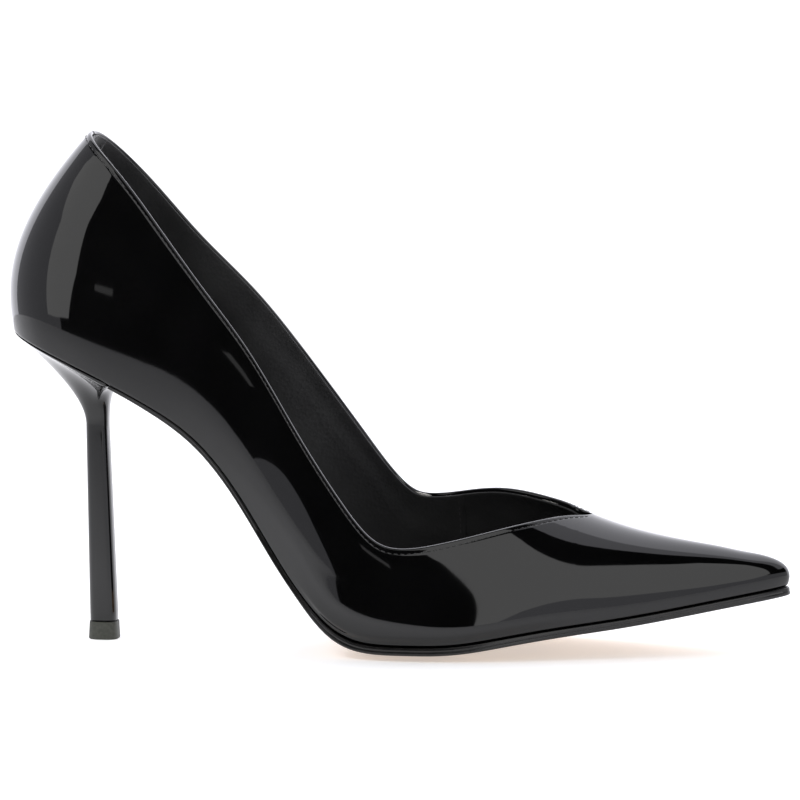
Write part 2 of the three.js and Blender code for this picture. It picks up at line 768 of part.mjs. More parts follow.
function stemSection(height, inset) {
  const t = (height - HEEL_FOOT) / (NECK_HEIGHT - HEEL_FOOT);
  const length = mix(STEM_FOOT_LENGTH, STEM_NECK_LENGTH, t);
  const width = mix(STEM_FOOT_WIDTH, STEM_NECK_WIDTH, t);
  return ovalSection(mix(0, STEM_NECK_X, t), length - 2 * inset, width - 2 * inset, height);
}

// The rim of the heel's cup, on the lasted bottom.
function seatSection(inset) {
  const front = BREAST_X - inset;
  const corner = stationAtX(BREAST_X);
  const points = [];
  for (let i = 0; i <= HEEL_ARC; i += 1) {
    const place = planPoint(wrap(mix(-corner, corner, i / HEEL_ARC)), HEEL_SEAT_INSET + inset);
    points.push(new THREE.Vector2(Math.min(place.x, front), place.y));
  }
  points[0].x = front;
  points[HEEL_ARC].x = front;
  for (let i = 1; i < BREAST_STEPS; i += 1) {
    points.push(points[HEEL_ARC].clone().lerp(points[0], i / BREAST_STEPS));
  }
  return points;
}

// Where a point of a ring lies round the heel: 1 at the back and 0 along the breast.
function behindBreast(i) {
  return Math.sin(Math.PI * Math.min(1, i / HEEL_ARC));
}

// A ring on the seat, drawn in towards its middle, or dropped below the seat at the breast.
function seatRing(inset, shrink = 0, lip = 0) {
  const points = seatSection(inset);
  const middle = new THREE.Vector2(HEEL_FAN_X - (HEEL_FAN_X - track.x(0)) / 2, 0);
  return points.map((point, i) => {
    const place = point.clone().lerp(middle, shrink);
    return bottomPoint(place.x, place.y, -GAP - lip * (1 - behindBreast(i)));
  });
}

// Rings from the seat down the cup and the stem to the top piece. The cup runs straight
// at the back, and turns in close under the seat at the breast, below a short lip.
function heelRings(inset) {
  const lip = Math.max(0, BREAST_LIP - inset);
  const rings = lip > 0 ? [seatRing(inset * COVER_SLANT)] : [];
  const cup = seatRing(inset * COVER_SLANT, 0, lip);
  const neck = stemSection(NECK_HEIGHT, inset);
  for (let j = 0; j <= CUP_STEPS; j += 1) {
    const t = j / CUP_STEPS;
    const w = 1 - t;
    rings.push(cup.map((start, i) => {
      const finish = neck[i];
      const behind = behindBreast(i);
      const reach = start.clone().lerp(finish, mix(BREAST_REACH, CUP_REACH, behind));
      reach.z = mix(start.z, finish.z, mix(BREAST_FALL, CUP_FALL, behind));
      const shoulder = finish.clone();
      shoulder.z += STEM_SHOULDER;
      return start.clone().multiplyScalar(w * w * w)
        .addScaledVector(reach, 3 * w * w * t)
        .addScaledVector(shoulder, 3 * w * t * t)
        .addScaledVector(finish, t * t * t);
    }));
  }
  for (let j = 1; j <= STEM_STEPS; j += 1) {
    rings.push(stemSection(mix(NECK_HEIGHT, HEEL_FOOT, j / STEM_STEPS), inset));
  }
  return rings;
}

// The pin, the dowel and their bores share the stem's own slightly leaning axis.
const stemAxis = new THREE.Vector3(STEM_NECK_X, 0, NECK_HEIGHT - HEEL_FOOT).normalize();
const PIN_TOP = NECK_HEIGHT + PIN_ABOVE_NECK;

function onStemAxis(height) {
  return new THREE.Vector3(0, 0, HEEL_FOOT).addScaledVector(stemAxis, (height - HEEL_FOOT) / stemAxis.z);
}

function stemRod(radius, from, to) {
  const length = onStemAxis(from).distanceTo(onStemAxis(to));
  return turned([[0, 0], [radius, 0], [radius, length], [0, length]], onStemAxis(from), stemAxis);
}

// ---------------------------------------------------------------- fasteners

// A headed fastener driven square to the seat through the insole board.
function fastener({ x, y, radius, headRadius, headThickness, depth, clearance = 0, above = 0 }) {
  const place = bottomPoint(x, y);
  const direction = bottomPoint(x, y, 1).sub(place);
  const top = insoleTop(x);
  const under = top - headThickness - clearance;
  const profile = [
    [0, -depth - clearance],
    [radius + clearance, -depth - clearance],
    [radius + clearance, under],
    [headRadius + clearance, under],
    [headRadius + clearance, top + above],
    [0, top + above],
  ];
  return turned(profile, place, direction);
}

const screwSize = {
  x: SCREW_X,
  y: 0,
  radius: SCREW_RADIUS,
  headRadius: SCREW_HEAD_RADIUS,
  headThickness: SCREW_HEAD_THICKNESS,
  depth: SCREW_DEPTH,
};
const nailSizes = NAIL_PLACES.map(([x, y]) => ({
  x,
  y,
  radius: NAIL_RADIUS,
  headRadius: NAIL_HEAD_RADIUS,
  headThickness: NAIL_HEAD_THICKNESS,
  depth: NAIL_DEPTH,
}));
const fastenerHoles = [screwSize, ...nailSizes].map((size) => (
  fastener({ ...size, clearance: GAP, above: HOLE_CLEAR_ABOVE })
));

// A tubular rivet through the shank and the shank board, with a flat head at each end.
function rivet(x) {
  const place = bottomPoint(x, 0);
  const direction = bottomPoint(x, 0, 1).sub(place);
  const low = BOARD_BOTTOM - RIVET_SEAT_GAP;
  const high = SHANK_TOP + RIVET_SEAT_GAP;
  const profile = [
    [0, low - RIVET_HEAD_THICKNESS],
    [RIVET_HEAD_RADIUS, low - RIVET_HEAD_THICKNESS],
    [RIVET_HEAD_RADIUS, low],
    [RIVET_RADIUS, low],
    [RIVET_RADIUS, high],
    [RIVET_HEAD_RADIUS, high],
    [RIVET_HEAD_RADIUS, high + RIVET_HEAD_THICKNESS],
    [0, high + RIVET_HEAD_THICKNESS],
  ];
  return turned(profile, place, direction);
}

function rivetHole(x) {
  const place = bottomPoint(x, 0);
  const direction = bottomPoint(x, 0, 1).sub(place);
  const radius = RIVET_RADIUS + GAP;
  const low = -HOLE_CLEAR_BELOW;
  const high = SHANK_TOP + HOLE_CLEAR_ABOVE;
  return turned([[0, low], [radius, low], [radius, high], [0, high]], place, direction);
}

// ---------------------------------------------------------------- the pieces

const VAMP_LINING_STATION = 11.5;
const GRIP_STATION = 1.5;
const SEAM = 0.03;
const PUFF_STATION = 15.2;
const COUNTER_STATION = 5;
const COUNTER_BELOW_TOPLINE = 18;
const COUNTER_BACK_REACH = 0.62;
const COUNTER_WING_REACH = 0.3;
const MARGIN_FOLD_OUTER = 1.2;
const MARGIN_FOLD_INNER = 1.6;
const TAPE_STATION = VAMP_STATION - 0.2;

function makeUpper() {
  const chamfer = (s) => ribClearing(s, FEATHER_CHAMFER);
  const under = (s, inset, height) => {
    const place = planPoint(s, inset);
    return bottomPoint(place.x, place.y, height);
  };
  const outerPoints = (s) => [
    under(s, LASTING_MARGIN, 0),
    under(s, FEATHER_CHAMFER, 0),
    ...ribPoints(s, chamfer(s), toplineAt(s), 0),
  ];
  const innerPoints = (s) => [
    under(s, LASTING_MARGIN, UPPER_THICKNESS),
    under(s, FEATHER_CHAMFER * MARGIN_FOLD_OUTER, UPPER_THICKNESS),
    ...ribPoints(s, ribClearing(s, UPPER_THICKNESS * MARGIN_FOLD_INNER), toplineAt(s), UPPER_THICKNESS),
  ];
  return shell({ columns: allColumns, closed: true, reachesRidge: true, outerPoints, innerPoints });
}

function makeToePuff() {
  return skin({
    columns: columnsBetween(PUFF_STATION, LOOP - PUFF_STATION),
    reachesRidge: true,
    outer: STIFFENER_DEPTH,
    inner: STIFFENER_DEPTH + STIFFENER_THICKNESS,
    low: footAbove,
    high: () => 1,
  });
}

function makeHeelCounter() {
  const wing = (s) => Math.min(s, LOOP - s) / COUNTER_STATION;
  return skin({
    columns: columnsBetween(-COUNTER_STATION, COUNTER_STATION),
    reachesRidge: false,
    outer: STIFFENER_DEPTH,
    inner: STIFFENER_DEPTH + STIFFENER_THICKNESS,
    low: footAbove,
    high: (s) => Math.min(
      belowTopline(s, COUNTER_BELOW_TOPLINE),
      mix(COUNTER_BACK_REACH, COUNTER_WING_REACH, wing(s)),
    ),
  });
}

function makeToplineTape() {
  return skin({
    columns: columnsBetween(-TAPE_STATION, TAPE_STATION),
    reachesRidge: false,
    outer: STIFFENER_DEPTH,
    inner: STIFFENER_DEPTH + TAPE_THICKNESS,
    low: (s) => belowTopline(s, TOPLINE_FOLD + TAPE_WIDTH),
    high: (s) => belowTopline(s, TOPLINE_FOLD),
    rows: 1,
  });
}

function makeInsoleBoard() {
  const board = plate({
    inset: () => WALL_THICKNESS + GAP,
    bottom: insoleBottom,
    top: insoleTop,
  });
  return cut(board, fastenerHoles);
}

function makeShankBoard() {
  const board = plate({
    to: SHANK_BOARD_FRONT_X,
    inset: () => WALL_THICKNESS + GAP,
    bottom: () => BOARD_BOTTOM,
    top: (x) => insoleBottom(x) - GAP,
  });
  const groove = strip(
    SHANK_BACK_X - GAP,
    SHANK_FRONT_X + GAP,
    SHANK_WIDTH + 2 * GAP,
    SHANK_BOTTOM - GAP,
    SHANK_TOP + HOLE_CLEAR_ABOVE,
  );
  return cut(board, [groove, ...fastenerHoles, ...Object.values(RIVET_PLACES).map(rivetHole)]);
}

function makeSteelShank() {
  const bar = strip(SHANK_BACK_X, SHANK_FRONT_X, SHANK_WIDTH, SHANK_BOTTOM, SHANK_TOP);
  return cut(bar, [fastenerHoles[0], ...Object.values(RIVET_PLACES).map(rivetHole)]);
}

function makePad(range) {
  return plate({
    ...range,
    inset: () => WALL_THICKNESS + GAP + PAD_INSET,
    bottom: (x) => insoleTop(x) + GAP,
    top: (x, share) => insoleTop(x) + GAP + padHeight(x, share),
  });
}

function makeSockLiner() {
  const under = (x, share) => insoleTop(x) + 2 * GAP + padHeight(x, share, SOCK_DRAPE);
  return plate({
    inset: () => WALL_THICKNESS + 2 * GAP,
    bottom: under,
    top: (x, share) => under(x, share) + SOCK_THICKNESS,
  });
}

function makeFiller() {
  return plate({
    from: FILLER_BACK_X,
    to: FILLER_FRONT_X,
    inset: () => LASTING_MARGIN,
    extra: GAP,
    bottom: () => 0,
    top: () => UPPER_THICKNESS,
  });
}

function makeOutsole() {
  return plate({
    from: BREAST_X + GAP,
    inset: outsoleInset,
    bottom: (x) => -GAP - outsoleThickness(x),
    top: () => -GAP,
    ground: 0,
  });
}

const CORE_SEAT_SHRINKS = [0.75, 0.45, 0.2];

function makeHeelCore() {
  const inset = HEEL_COVER_THICKNESS + GAP;
  const rings = heelRings(inset);
  const seat = CORE_SEAT_SHRINKS.map((shrink) => seatRing(inset * COVER_SLANT, shrink));
  const bore = stemRod(PIN_RADIUS + GAP, 0, PIN_TOP + GAP);
  return cut(ringSolid([...seat, ...rings]), [bore, ...fastenerHoles]);
}

function makeHeelCover() {
  const rings = [...heelRings(0), ...heelRings(HEEL_COVER_THICKNESS).reverse()];
  const triangles = [];
  gridFaces(triangles, rings.map((ring) => [...ring, ring[0]]), true);
  return closedGeometry(triangles);
}

function makeHeelPin() {
  const foot = onStemAxis(HEEL_FOOT);
  const length = foot.distanceTo(onStemAxis(PIN_TOP));
  const profile = [
    [PIN_BORE_RADIUS, 0],
    [PIN_RADIUS, 0],
    [PIN_RADIUS, length],
    [PIN_BORE_RADIUS, length],
    [PIN_BORE_RADIUS, 0],
  ];
  return turned(profile, foot, stemAxis);
}

function makeTopPiece() {
  const ring = (height, grow) => (
    ovalSection(0, TOP_PIECE_LENGTH + 2 * grow, TOP_PIECE_WIDTH + 2 * grow, height)
  );
  const body = ringSolid([ring(0, TOP_PIECE_DRAFT), ring(TOP_PIECE_HEIGHT, 0)]);
  return cut(body, [stemRod(DOWEL_RADIUS + GAP, DOWEL_BOTTOM - GAP, TOP_PIECE_HEIGHT + HOLE_CLEAR_ABOVE)]);
}

// ---------------------------------------------------------------- materials

const finish = (color, roughness, metalness = 0) => (
  new THREE.MeshStandardMaterial({ color, roughness, metalness })
);
const patent = finish(0x0b0b0c, 0.08);
const liningLeather = finish(0x1d1c1c, 0.75);
const suede = finish(0x242323, 0.95);
const stiffener = finish(0xb9a98c, 0.9);
const board = finish(0x8a7b63, 0.9);
const foam = finish(0xd8d2c4, 0.95);
const tape = finish(0xe6e4de, 0.8);
const cork = finish(0xa57c52, 0.95);
const soleLeather = finish(0xc79a6b, 0.55);
const heelPlastic = finish(0x6d6a64, 0.5);
const liftRubber = finish(0x4b4c44, 0.7);
const steel = finish(0xb4b6b8, 0.35, 1);

const shoe = new THREE.Group();

function add(name, geometry, material) {
  const mesh = new THREE.Mesh(geometry, material);
  mesh.name = name;
  shoe.add(mesh);
}

add('upper', makeUpper(), patent);
add('toe_puff', makeToePuff(), stiffener);
add('heel_counter', makeHeelCounter(), stiffener);
add('topline_tape', makeToplineTape(), tape);
add('vamp_lining', lining(VAMP_LINING_STATION, LOOP - VAMP_LINING_STATION), liningLeather);
add('quarter_lining_lateral', lining(GRIP_STATION + SEAM, VAMP_LINING_STATION - SEAM), liningLeather);
add('quarter_lining_medial', lining(LOOP - VAMP_LINING_STATION + SEAM, LOOP - GRIP_STATION - SEAM), liningLeather);
add('heel_grip', lining(-GRIP_STATION, GRIP_STATION), suede);
add('insole_board', makeInsoleBoard(), board);
add('shank_board', makeShankBoard(), board);
add('steel_shank', makeSteelShank(), steel);
for (const [place, x] of Object.entries(RIVET_PLACES)) add(`shank_rivet_${place}`, rivet(x), steel);
add('forefoot_filler', makeFiller(), cork);
add('heel_pad', makePad({ to: HEEL_PAD_FRONT_X }), foam);
add('ball_pad', makePad({ from: BALL_PAD_BACK_X, to: BALL_PAD_FRONT_X }), foam);
add('sock_liner', makeSockLiner(), liningLeather);
add('outsole', makeOutsole(), soleLeather);
add('heel_core', makeHeelCore(), heelPlastic);
add('heel_cover', makeHeelCover(), patent);
add('heel_pin', makeHeelPin(), steel);
add('top_piece', makeTopPiece(), liftRubber);
add('top_piece_dowel', stemRod(DOWEL_RADIUS, DOWEL_BOTTOM, DOWEL_TOP), steel);
add('heel_screw', fastener(screwSize), steel);
nailSizes.forEach((size, i) => add(`heel_nail_${i + 1}`, fastener(size), steel));

export default shoe;
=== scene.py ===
# High heel pump in black patent leather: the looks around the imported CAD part.
# The shoe's own formulas are in millimetres, and mesh points are turned to metres.

import math

import bpy
import bmesh
import numpy as np
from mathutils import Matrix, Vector


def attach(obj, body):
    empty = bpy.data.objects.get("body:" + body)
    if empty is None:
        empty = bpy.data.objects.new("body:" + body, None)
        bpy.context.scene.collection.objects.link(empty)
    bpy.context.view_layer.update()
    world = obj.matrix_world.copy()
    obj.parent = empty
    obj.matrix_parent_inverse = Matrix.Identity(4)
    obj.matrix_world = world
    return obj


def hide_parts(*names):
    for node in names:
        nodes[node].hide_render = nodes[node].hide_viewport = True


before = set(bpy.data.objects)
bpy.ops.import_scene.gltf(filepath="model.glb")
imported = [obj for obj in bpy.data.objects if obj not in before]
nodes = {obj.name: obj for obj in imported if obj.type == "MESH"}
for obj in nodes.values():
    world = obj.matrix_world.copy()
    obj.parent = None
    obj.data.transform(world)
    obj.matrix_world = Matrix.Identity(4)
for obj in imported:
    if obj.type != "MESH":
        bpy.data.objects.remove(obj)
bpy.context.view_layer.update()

MM = 0.001

# -------------------- sizes shared with the CAD

GAP = 0.3
UPPER_THICKNESS = 0.9
LINING_OUTER_DEPTH = 2.3
LINING_TOP_DEPTH = 1.75
LINING_THICKNESS = 0.6
WALL_THICKNESS = 2.9
INSOLE_THICKNESS = 1.6
SHANK_BOARD_THICKNESS = 2.6
SOCK_THICKNESS = 0.8
PAD_THICKNESS = 2.0
PAD_EDGE = 0.5
PAD_INSET = 3.0
PAD_SKIVE = 12.0
PAD_SIDE_SHARE = 0.35
SOCK_DRAPE = 6.0
TREAD_STACK = 2.45
BOTTOM_CURVE = 0.0017
BREAST_X = 6.5
HEEL_FAN_X = 6.0
TOE_FAN_X = 170.0
FAN_PULL = 0.35
MARGIN_SHARE = 0.75
HEEL_PAD_FRONT_X = 26.0
BALL_PAD_BACK_X = 99.0
BALL_PAD_FRONT_X = 142.0
VAMP_STATION = 14
VAMP_LINING_STATION = 11.5
GRIP_STATION = 1.5

STATIONS = np.array([
    [-29, 0, 0, 5, 0, 0, 172.2, 20.5, 4.4, 0.97, 33],
    [-25, 13, 13, 6, 0, 4.5, 172.7, 20.5, 4.1, 0.97, 33],
    [-15.5, 22, 22, 8.5, 0, 8.5, 172.2, 21, 3.5, 0.96, 33],
    [-3, 25.5, 25.5, 13, 0, 12, 169.2, 21, 2.5, 0.96, 33],
    [11, 24.5, 24, 21, 0, 14.5, 162.2, 21, 2, 0.97, 32],
    [24, 22, 19.5, 30, 0, 15.5, 151.2, 21, 2, 1, 30],
    [37, 20.8, 16, 40, 0, 15, 138.2, 21, 2.5, 1, 28],
    [50, 21.5, 15, 51, 0, 13, 123.2, 21, 3, 1, 26],
    [63, 25.5, 18, 63, 0, 10.5, 107.2, 21, 3.5, 1, 24],
    [76, 31, 24.5, 76, 0, 7.5, 92.2, 21, 4, 0.95, 20],
    [90, 35.3, 31, 90, 0, 4.5, 79.2, 21, 4, 0.88, 14],
    [106, 37, 35.5, 106, 0, 2, 68.7, 20, 3.5, 0.78, 7],
    [123, 35.5, 36, 123, 0.2, 0.5, 59.2, 18, 3, 0.7, 2],
    [141, 31, 32, 141, 0.5, 0, 49.7, 16, 2.5, 0.7, 0],
    [160, 24.3, 26.3, 160, 1, 0, 41.3, 13, 2, 0.66, 0],
    [178, 17.2, 20.5, 176, 1.6, 0, 36.2, 11, 1.8, 0.64, 0],
    [194, 11, 15.5, 190, 2.2, 0, 33.3, 9, 1.8, 0.64, 0.3],
    [207, 6.3, 11.7, 200, 2.7, 0, 31.6, 8, 2, 0.66, 0.8],
    [216.5, 2.6, 8.4, 206.5, 2.9, 0, 30.3, 7, 2.4, 0.72, 1.2],
    [222.8, -3, 3, 209, 3, 0, 29.8, 7, 3, 0.76, 1.4],
])
BOTTOM_LINE = np.array([
    [-29, 98.7], [-16, 93.1], [4.4, 83.5], [20.4, 74.6], [35.2, 63.5], [48.7, 46.6], [62.4, 25.5],
    [71.3, 13.8], [79.2, 5.9], [86.9, 1.7], [97.1, 0.1], [106, 0], [112, 0.05], [122.2, 0.85],
    [134.7, 3.15], [153, 6.6], [171.7, 9.55], [190.6, 12.95], [209.5, 16.5], [222.8, 18.9],
])
LATERAL_TOPLINE = np.array([
    [-1.4, 161.6], [10.8, 149.3], [24.5, 131.2], [36.8, 114.3], [50.9, 95.4], [68.5, 68.1], [82.8, 48.1],
    [94.9, 35.6], [103.5, 33.6], [112.9, 34.7], [127.1, 37.8], [146.6, 41.7], [153.8, 42.1], [160, 41.3],
])
MEDIAL_TOPLINE = np.array([
    [-1.4, 161.6], [10.7, 149], [29.9, 128.4], [49.3, 109.8], [68.8, 85.6], [83.5, 64.3], [93.3, 50],
    [98.4, 45.2], [104, 44], [118.8, 46.1], [129.2, 47.2], [145, 45.5], [155.6, 43.1], [160, 41.3],
])
TIP = len(STATIONS) - 1
LOOP = 2 * TIP


# -------------------- camera

TARGET = Vector((97.5, 0.0, 79.65)) * MM
CAMERA_PLACE = Vector((393.1, -1978.0, 301.6)) * MM
CAMERA_LENS = 280.7
CAMERA_SENSOR = 36.0
CAMERA_REACH = 50.0



def add_object(name, data):
    item = bpy.data.objects.new(name, data)
    bpy.context.scene.collection.objects.link(item)
    return item


camera = add_object("camera", bpy.data.cameras.new("camera"))
camera.location = CAMERA_PLACE
camera.rotation_euler = (TARGET - CAMERA_PLACE).to_track_quat("-Z", "Y").to_euler()
camera.data.lens = CAMERA_LENS
camera.data.sensor_width = CAMERA_SENSOR
camera.data.clip_end = CAMERA_REACH
bpy.context.scene.camera = camera


# -------------------- curves

# Small steps for slopes: in plan in millimetres, along the loop in stations, up a rib as a share.
PLAN_NUDGE = 0.05
STATION_NUDGE = 0.01
RIB_NUDGE = 0.004
LOWEST_TOPLINE = 0.2
TOPLINE_HALVINGS = 30
STATION_HALVINGS = 40


def spline(knots, values, period=0.0):
    """A smooth cubic through all the values, closed on itself or with free ends."""
    knots = np.asarray(knots, float)
    values = np.asarray(values, float)
    count = len(knots)
    closed = period > 0
    ends = np.append(knots, knots[0] + period) if closed else knots
    width = np.diff(ends)
    rise = np.roll(values, -1) - values if closed else np.diff(values)
    step = rise / width
    matrix = np.zeros((count, count))
    pull = np.zeros(count)
    for i in range(count):
        if not closed and i in (0, count - 1):
            other, side = (1, 0) if i == 0 else (i - 1, i - 1)
            matrix[i, i] = 2
            matrix[i, other] = 1
            pull[i] = 3 * step[side]
        else:
            before = (i - 1) % count
            left = 1 / width[before]
            right = 1 / width[i]
            matrix[i, before] = left
            matrix[i, i] = 2 * (left + right)
            matrix[i, (i + 1) % count] = right
            pull[i] = 3 * (left * step[before] + right * step[i])
    slopes = np.linalg.solve(matrix, pull)

    def value(at):
        at = np.asarray(at, float)
        x = knots[0] + np.mod(at - knots[0], period) if closed else np.clip(at, knots[0], knots[-1])
        i = np.clip(np.searchsorted(ends, x, side="right") - 1, 0, len(width) - 1)
        after = (i + 1) % count
        t = (x - knots[i]) / width[i]
        w = 1 - t
        inside = (values[i] * (1 + 2 * t) * w * w + values[after] * (3 - 2 * t) * t * t
                  + width[i] * (slopes[i] * t * w * w - slopes[after] * t * t * w))
        if closed:
            return inside
        slope = np.where(at < knots[0], slopes[0], slopes[-1])
        return inside + slope * (at - x)

    return value


def smooth_step(x, start, end):
    t = np.clip((np.asarray(x, float) - start) / (end - start), 0, 1)
    return t * t * (3 - 2 * t)


def mix(a, b, t):
    return a + (b - a) * t


centre_line = spline(BOTTOM_LINE[:, 0], BOTTOM_LINE[:, 1] + TREAD_STACK)
lateral_topline = spline(LATERAL_TOPLINE[:, 0], LATERAL_TOPLINE[:, 1] + TREAD_STACK)
medial_topline = spline(MEDIAL_TOPLINE[:, 0], MEDIAL_TOPLINE[:, 1] + TREAD_STACK)


def loop_tracks():
    """The stations' columns as closed splines along the lateral side to the tip and back."""
    rows = [STATIONS[k if k <= TIP else LOOP - k] for k in range(LOOP)]
    side = [-1 if k <= TIP else 1 for k in range(LOOP)]
    columns = {
        "x": [row[0] for row in rows],
        "y": [s * row[1 if s < 0 else 2] for row, s in zip(rows, side)],
        "crown_x": [row[3] for row in rows],
        "crown_y": [row[4] + s * row[5] for row, s in zip(rows, side)],
        "crown_z": [row[6] + TREAD_STACK for row in rows],
        "rise": [row[7] for row in rows],
        "lean": [row[8] for row in rows],
        "fullness": [row[9] for row in rows],
        "drop": [row[10] for row in rows],
    }
    return {key: spline(range(LOOP), column, LOOP) for key, column in columns.items()}


track = loop_tracks()


def unit(vectors):
    return vectors / np.linalg.norm(vectors, axis=-1, keepdims=True)


def bottom_height(x, y):
    return centre_line(x) + BOTTOM_CURVE * y * y


def bottom_point(x, y, height=0.0):
    """A place over the bottom surface, at a height square to it."""
    e = PLAN_NUDGE
    slope_x = (bottom_height(x + e, y) - bottom_height(x - e, y)) / (2 * e)
    slope_y = (bottom_height(x, y + e) - bottom_height(x, y - e)) / (2 * e)
    normal = unit(np.stack([-slope_x, -slope_y, np.ones_like(slope_x)], -1))
    return np.stack([x, y, bottom_height(x, y)], -1) + normal * np.asarray(height)[..., None]


def feather(s):
    """The plan of the bottom's edge, where the side of the shoe starts."""
    return np.stack([track["x"](s), track["y"](s)], -1)


def outward(s):
    e = STATION_NUDGE
    along = feather(s + e) - feather(s - e)
    return unit(np.stack([along[..., 1], -along[..., 0]], -1))


def rib_controls(s):
    foot = feather(s)
    out = outward(s)
    start = np.concatenate([foot, bottom_height(foot[..., 0], foot[..., 1])[..., None]], -1)
    crown = np.stack([track["crown_x"](s), track["crown_y"](s), track["crown_z"](s)], -1)
    low = start.copy()
    low[..., :2] += out * track["lean"](s)[..., None]
    low[..., 2] += track["rise"](s)
    high = crown.copy()
    high[..., :2] += (start - crown)[..., :2] * track["fullness"](s)[..., None]
    high[..., 2] -= track["drop"](s)
    return start, low, high, crown


def last_point(s, v):
    """A place on the last: s runs round the loop of ribs, v from the bottom's edge up to the crown."""
    a, b, c, d = rib_controls(s)
    v = np.asarray(v, float)[..., None]
    w = 1 - v
    return a * w ** 3 + b * 3 * w * w * v + c * 3 * w * v * v + d * v ** 3


def side_normal(s, v):
    e = RIB_NUDGE
    up = np.minimum(v, 1 - e)
    along_s = last_point(s + e, v) - last_point(s - e, v)
    along_v = last_point(s, up + e) - last_point(s, np.maximum(0, up - e))
    return unit(np.cross(along_s, along_v))


def ahead_of_vamp(s):
    return np.minimum(s, LOOP - s) >= VAMP_STATION


def skin_point(s, v, depth):
    """A place at a depth under the last's surface. Ahead of the vamp point both sides meet on the ridge."""
    s = np.mod(s, LOOP)
    ridge = ahead_of_vamp(s) & (v >= 1)
    s = np.where(ridge, np.minimum(s, LOOP - s), s)
    normal = side_normal(s, v)
    both = unit(normal + side_normal(LOOP - s, v))
    normal = np.where(ridge[..., None], both, normal)
    return last_point(s, v) - normal * np.asarray(depth)[..., None]


def topline_at(s):
    """How far up each rib the topline cuts it: 1 at the ridge, ahead of the vamp point."""
    s = np.mod(s, LOOP)
    low = np.where(ahead_of_vamp(s), 1.0, LOWEST_TOPLINE)
    high = np.ones_like(low)
    for _ in range(TOPLINE_HALVINGS):
        middle = (low + high) / 2
        point = last_point(s, middle)
        line = np.where(s <= TIP, lateral_topline(point[..., 0]), medial_topline(point[..., 0]))
        over = point[..., 2] > line
        high = np.where(over, middle, high)
        low = np.where(over, low, middle)
    return high


def below_topline(s, distance):
    """How far up each rib a place lies that is a distance in millimetres under the topline."""
    top = topline_at(s)
    e = STATION_NUDGE
    speed = np.linalg.norm(last_point(s, top) - last_point(s, top - e), axis=-1) / e
    return top - distance / speed


def above_feather(s, distance):
    """How far up each rib a place lies that is a distance in millimetres above the bottom's edge."""
    start, low, _, _ = rib_controls(s)
    return distance / (3 * np.linalg.norm(low - start, axis=-1))


def spine_point(loop_s):
    """The plan of the middle line that insets run towards, drawn in at the heel and the toe."""
    s = np.minimum(loop_s, LOOP - loop_s)
    x = track["x"](s)
    heel_reach = HEEL_FAN_X - track["x"](0)
    q = (HEEL_FAN_X - x) / heel_reach
    fanned = np.where(x < HEEL_FAN_X, HEEL_FAN_X - heel_reach * (q - FAN_PULL * q * q), x)
    toe_reach = track["x"](TIP) - TOE_FAN_X
    q = (x - TOE_FAN_X) / toe_reach
    fanned = np.where(x > TOE_FAN_X, TOE_FAN_X + toe_reach * (q - FAN_PULL * q * q), fanned)
    axis = (track["crown_y"](s) + track["crown_y"](LOOP - s)) / 2
    return np.stack([fanned, axis], -1)


def plan_point(s, inset, share=0.0):
    """A place in plan: an inset square to the feather line, then a share of the way to the middle."""
    s = np.mod(s, LOOP)
    foot = feather(s)
    spine = spine_point(s)
    inward = spine - foot
    reach = -np.sum(inward * outward(s), -1)
    r = np.minimum(MARGIN_SHARE, inset / reach)
    return foot + inward * (r + (1 - r) * share)[..., None]


def station_at_x(x):
    low, high = 0.0, float(TIP)
    for _ in range(STATION_HALVINGS):
        middle = (low + high) / 2
        if track["x"](middle) < x:
            low = middle
        else:
            high = middle
    return low


# -------------------- meshes

def grid_faces(rows, columns, closed_rows=False, offset=0):
    """Faces of a grid whose points are listed row by row."""
    faces = []
    last = rows if closed_rows else rows - 1
    for i in range(last):
        k = (i + 1) % rows
        for j in range(columns - 1):
            faces.append((offset + i * columns + j, offset + k * columns + j,
                          offset + k * columns + j + 1, offset + i * columns + j + 1))
    return faces


class Builder:
    """Collects grids of points, in millimetres, into one mesh object."""

    def __init__(self):
        self.points = []
        self.faces = []
        self.slots = []

    def grid(self, points, closed_rows=False, slot=0, flip=False):
        rows, columns = points.shape[:2]
        faces = grid_faces(rows, columns, closed_rows, len(self.points))
        if flip:
            faces = [face[::-1] for face in faces]
        self.points.extend(points.reshape(-1, 3).tolist())
        self.faces.extend(faces)
        self.slots.extend([slot] * len(faces))

    def finish(self, name, materials, weld=0.004, auto_normals=True, sharp=None):
        mesh = bpy.data.meshes.new(name)
        mesh.from_pydata([[c * MM for c in p] for p in self.points], [], self.faces)
        for material in materials:
            mesh.materials.append(material)
        mesh.polygons.foreach_set("material_index", self.slots)
        work = bmesh.new()
        work.from_mesh(mesh)
        bmesh.ops.remove_doubles(work, verts=work.verts, dist=weld * MM)
        bmesh.ops.dissolve_degenerate(work, edges=work.edges, dist=weld * MM * 0.5)
        if auto_normals:
            bmesh.ops.recalc_face_normals(work, faces=work.faces)
        for face in work.faces:
            face.smooth = True
        work.to_mesh(mesh)
        work.free()
        if sharp is not None:
            mesh.set_sharp_from_angle(angle=math.radians(sharp))
        piece = add_object(name, mesh)
        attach(piece, "root")
        return piece


# -------------------- materials

WEAVE_SCALE = 420.0


def new_material(name, colour, roughness, **sockets):
    material = bpy.data.materials.new(name)
    material.use_nodes = True
    shader = material.node_tree.nodes["Principled BSDF"]
    shader.inputs["Base Color"].default_value = (*colour, 1)
    shader.inputs["Roughness"].default_value = roughness
    for socket, value in sockets.items():
        shader.inputs[socket.replace("_", " ")].default_value = value
    return material


def add_node(material, kind, **inputs):
    node = material.node_tree.nodes.new(kind)
    for name, value in inputs.items():
        node.inputs[name.replace("_", " ")].default_value = value
    return node


def link(material, output, socket):
    material.node_tree.links.new(output, socket)


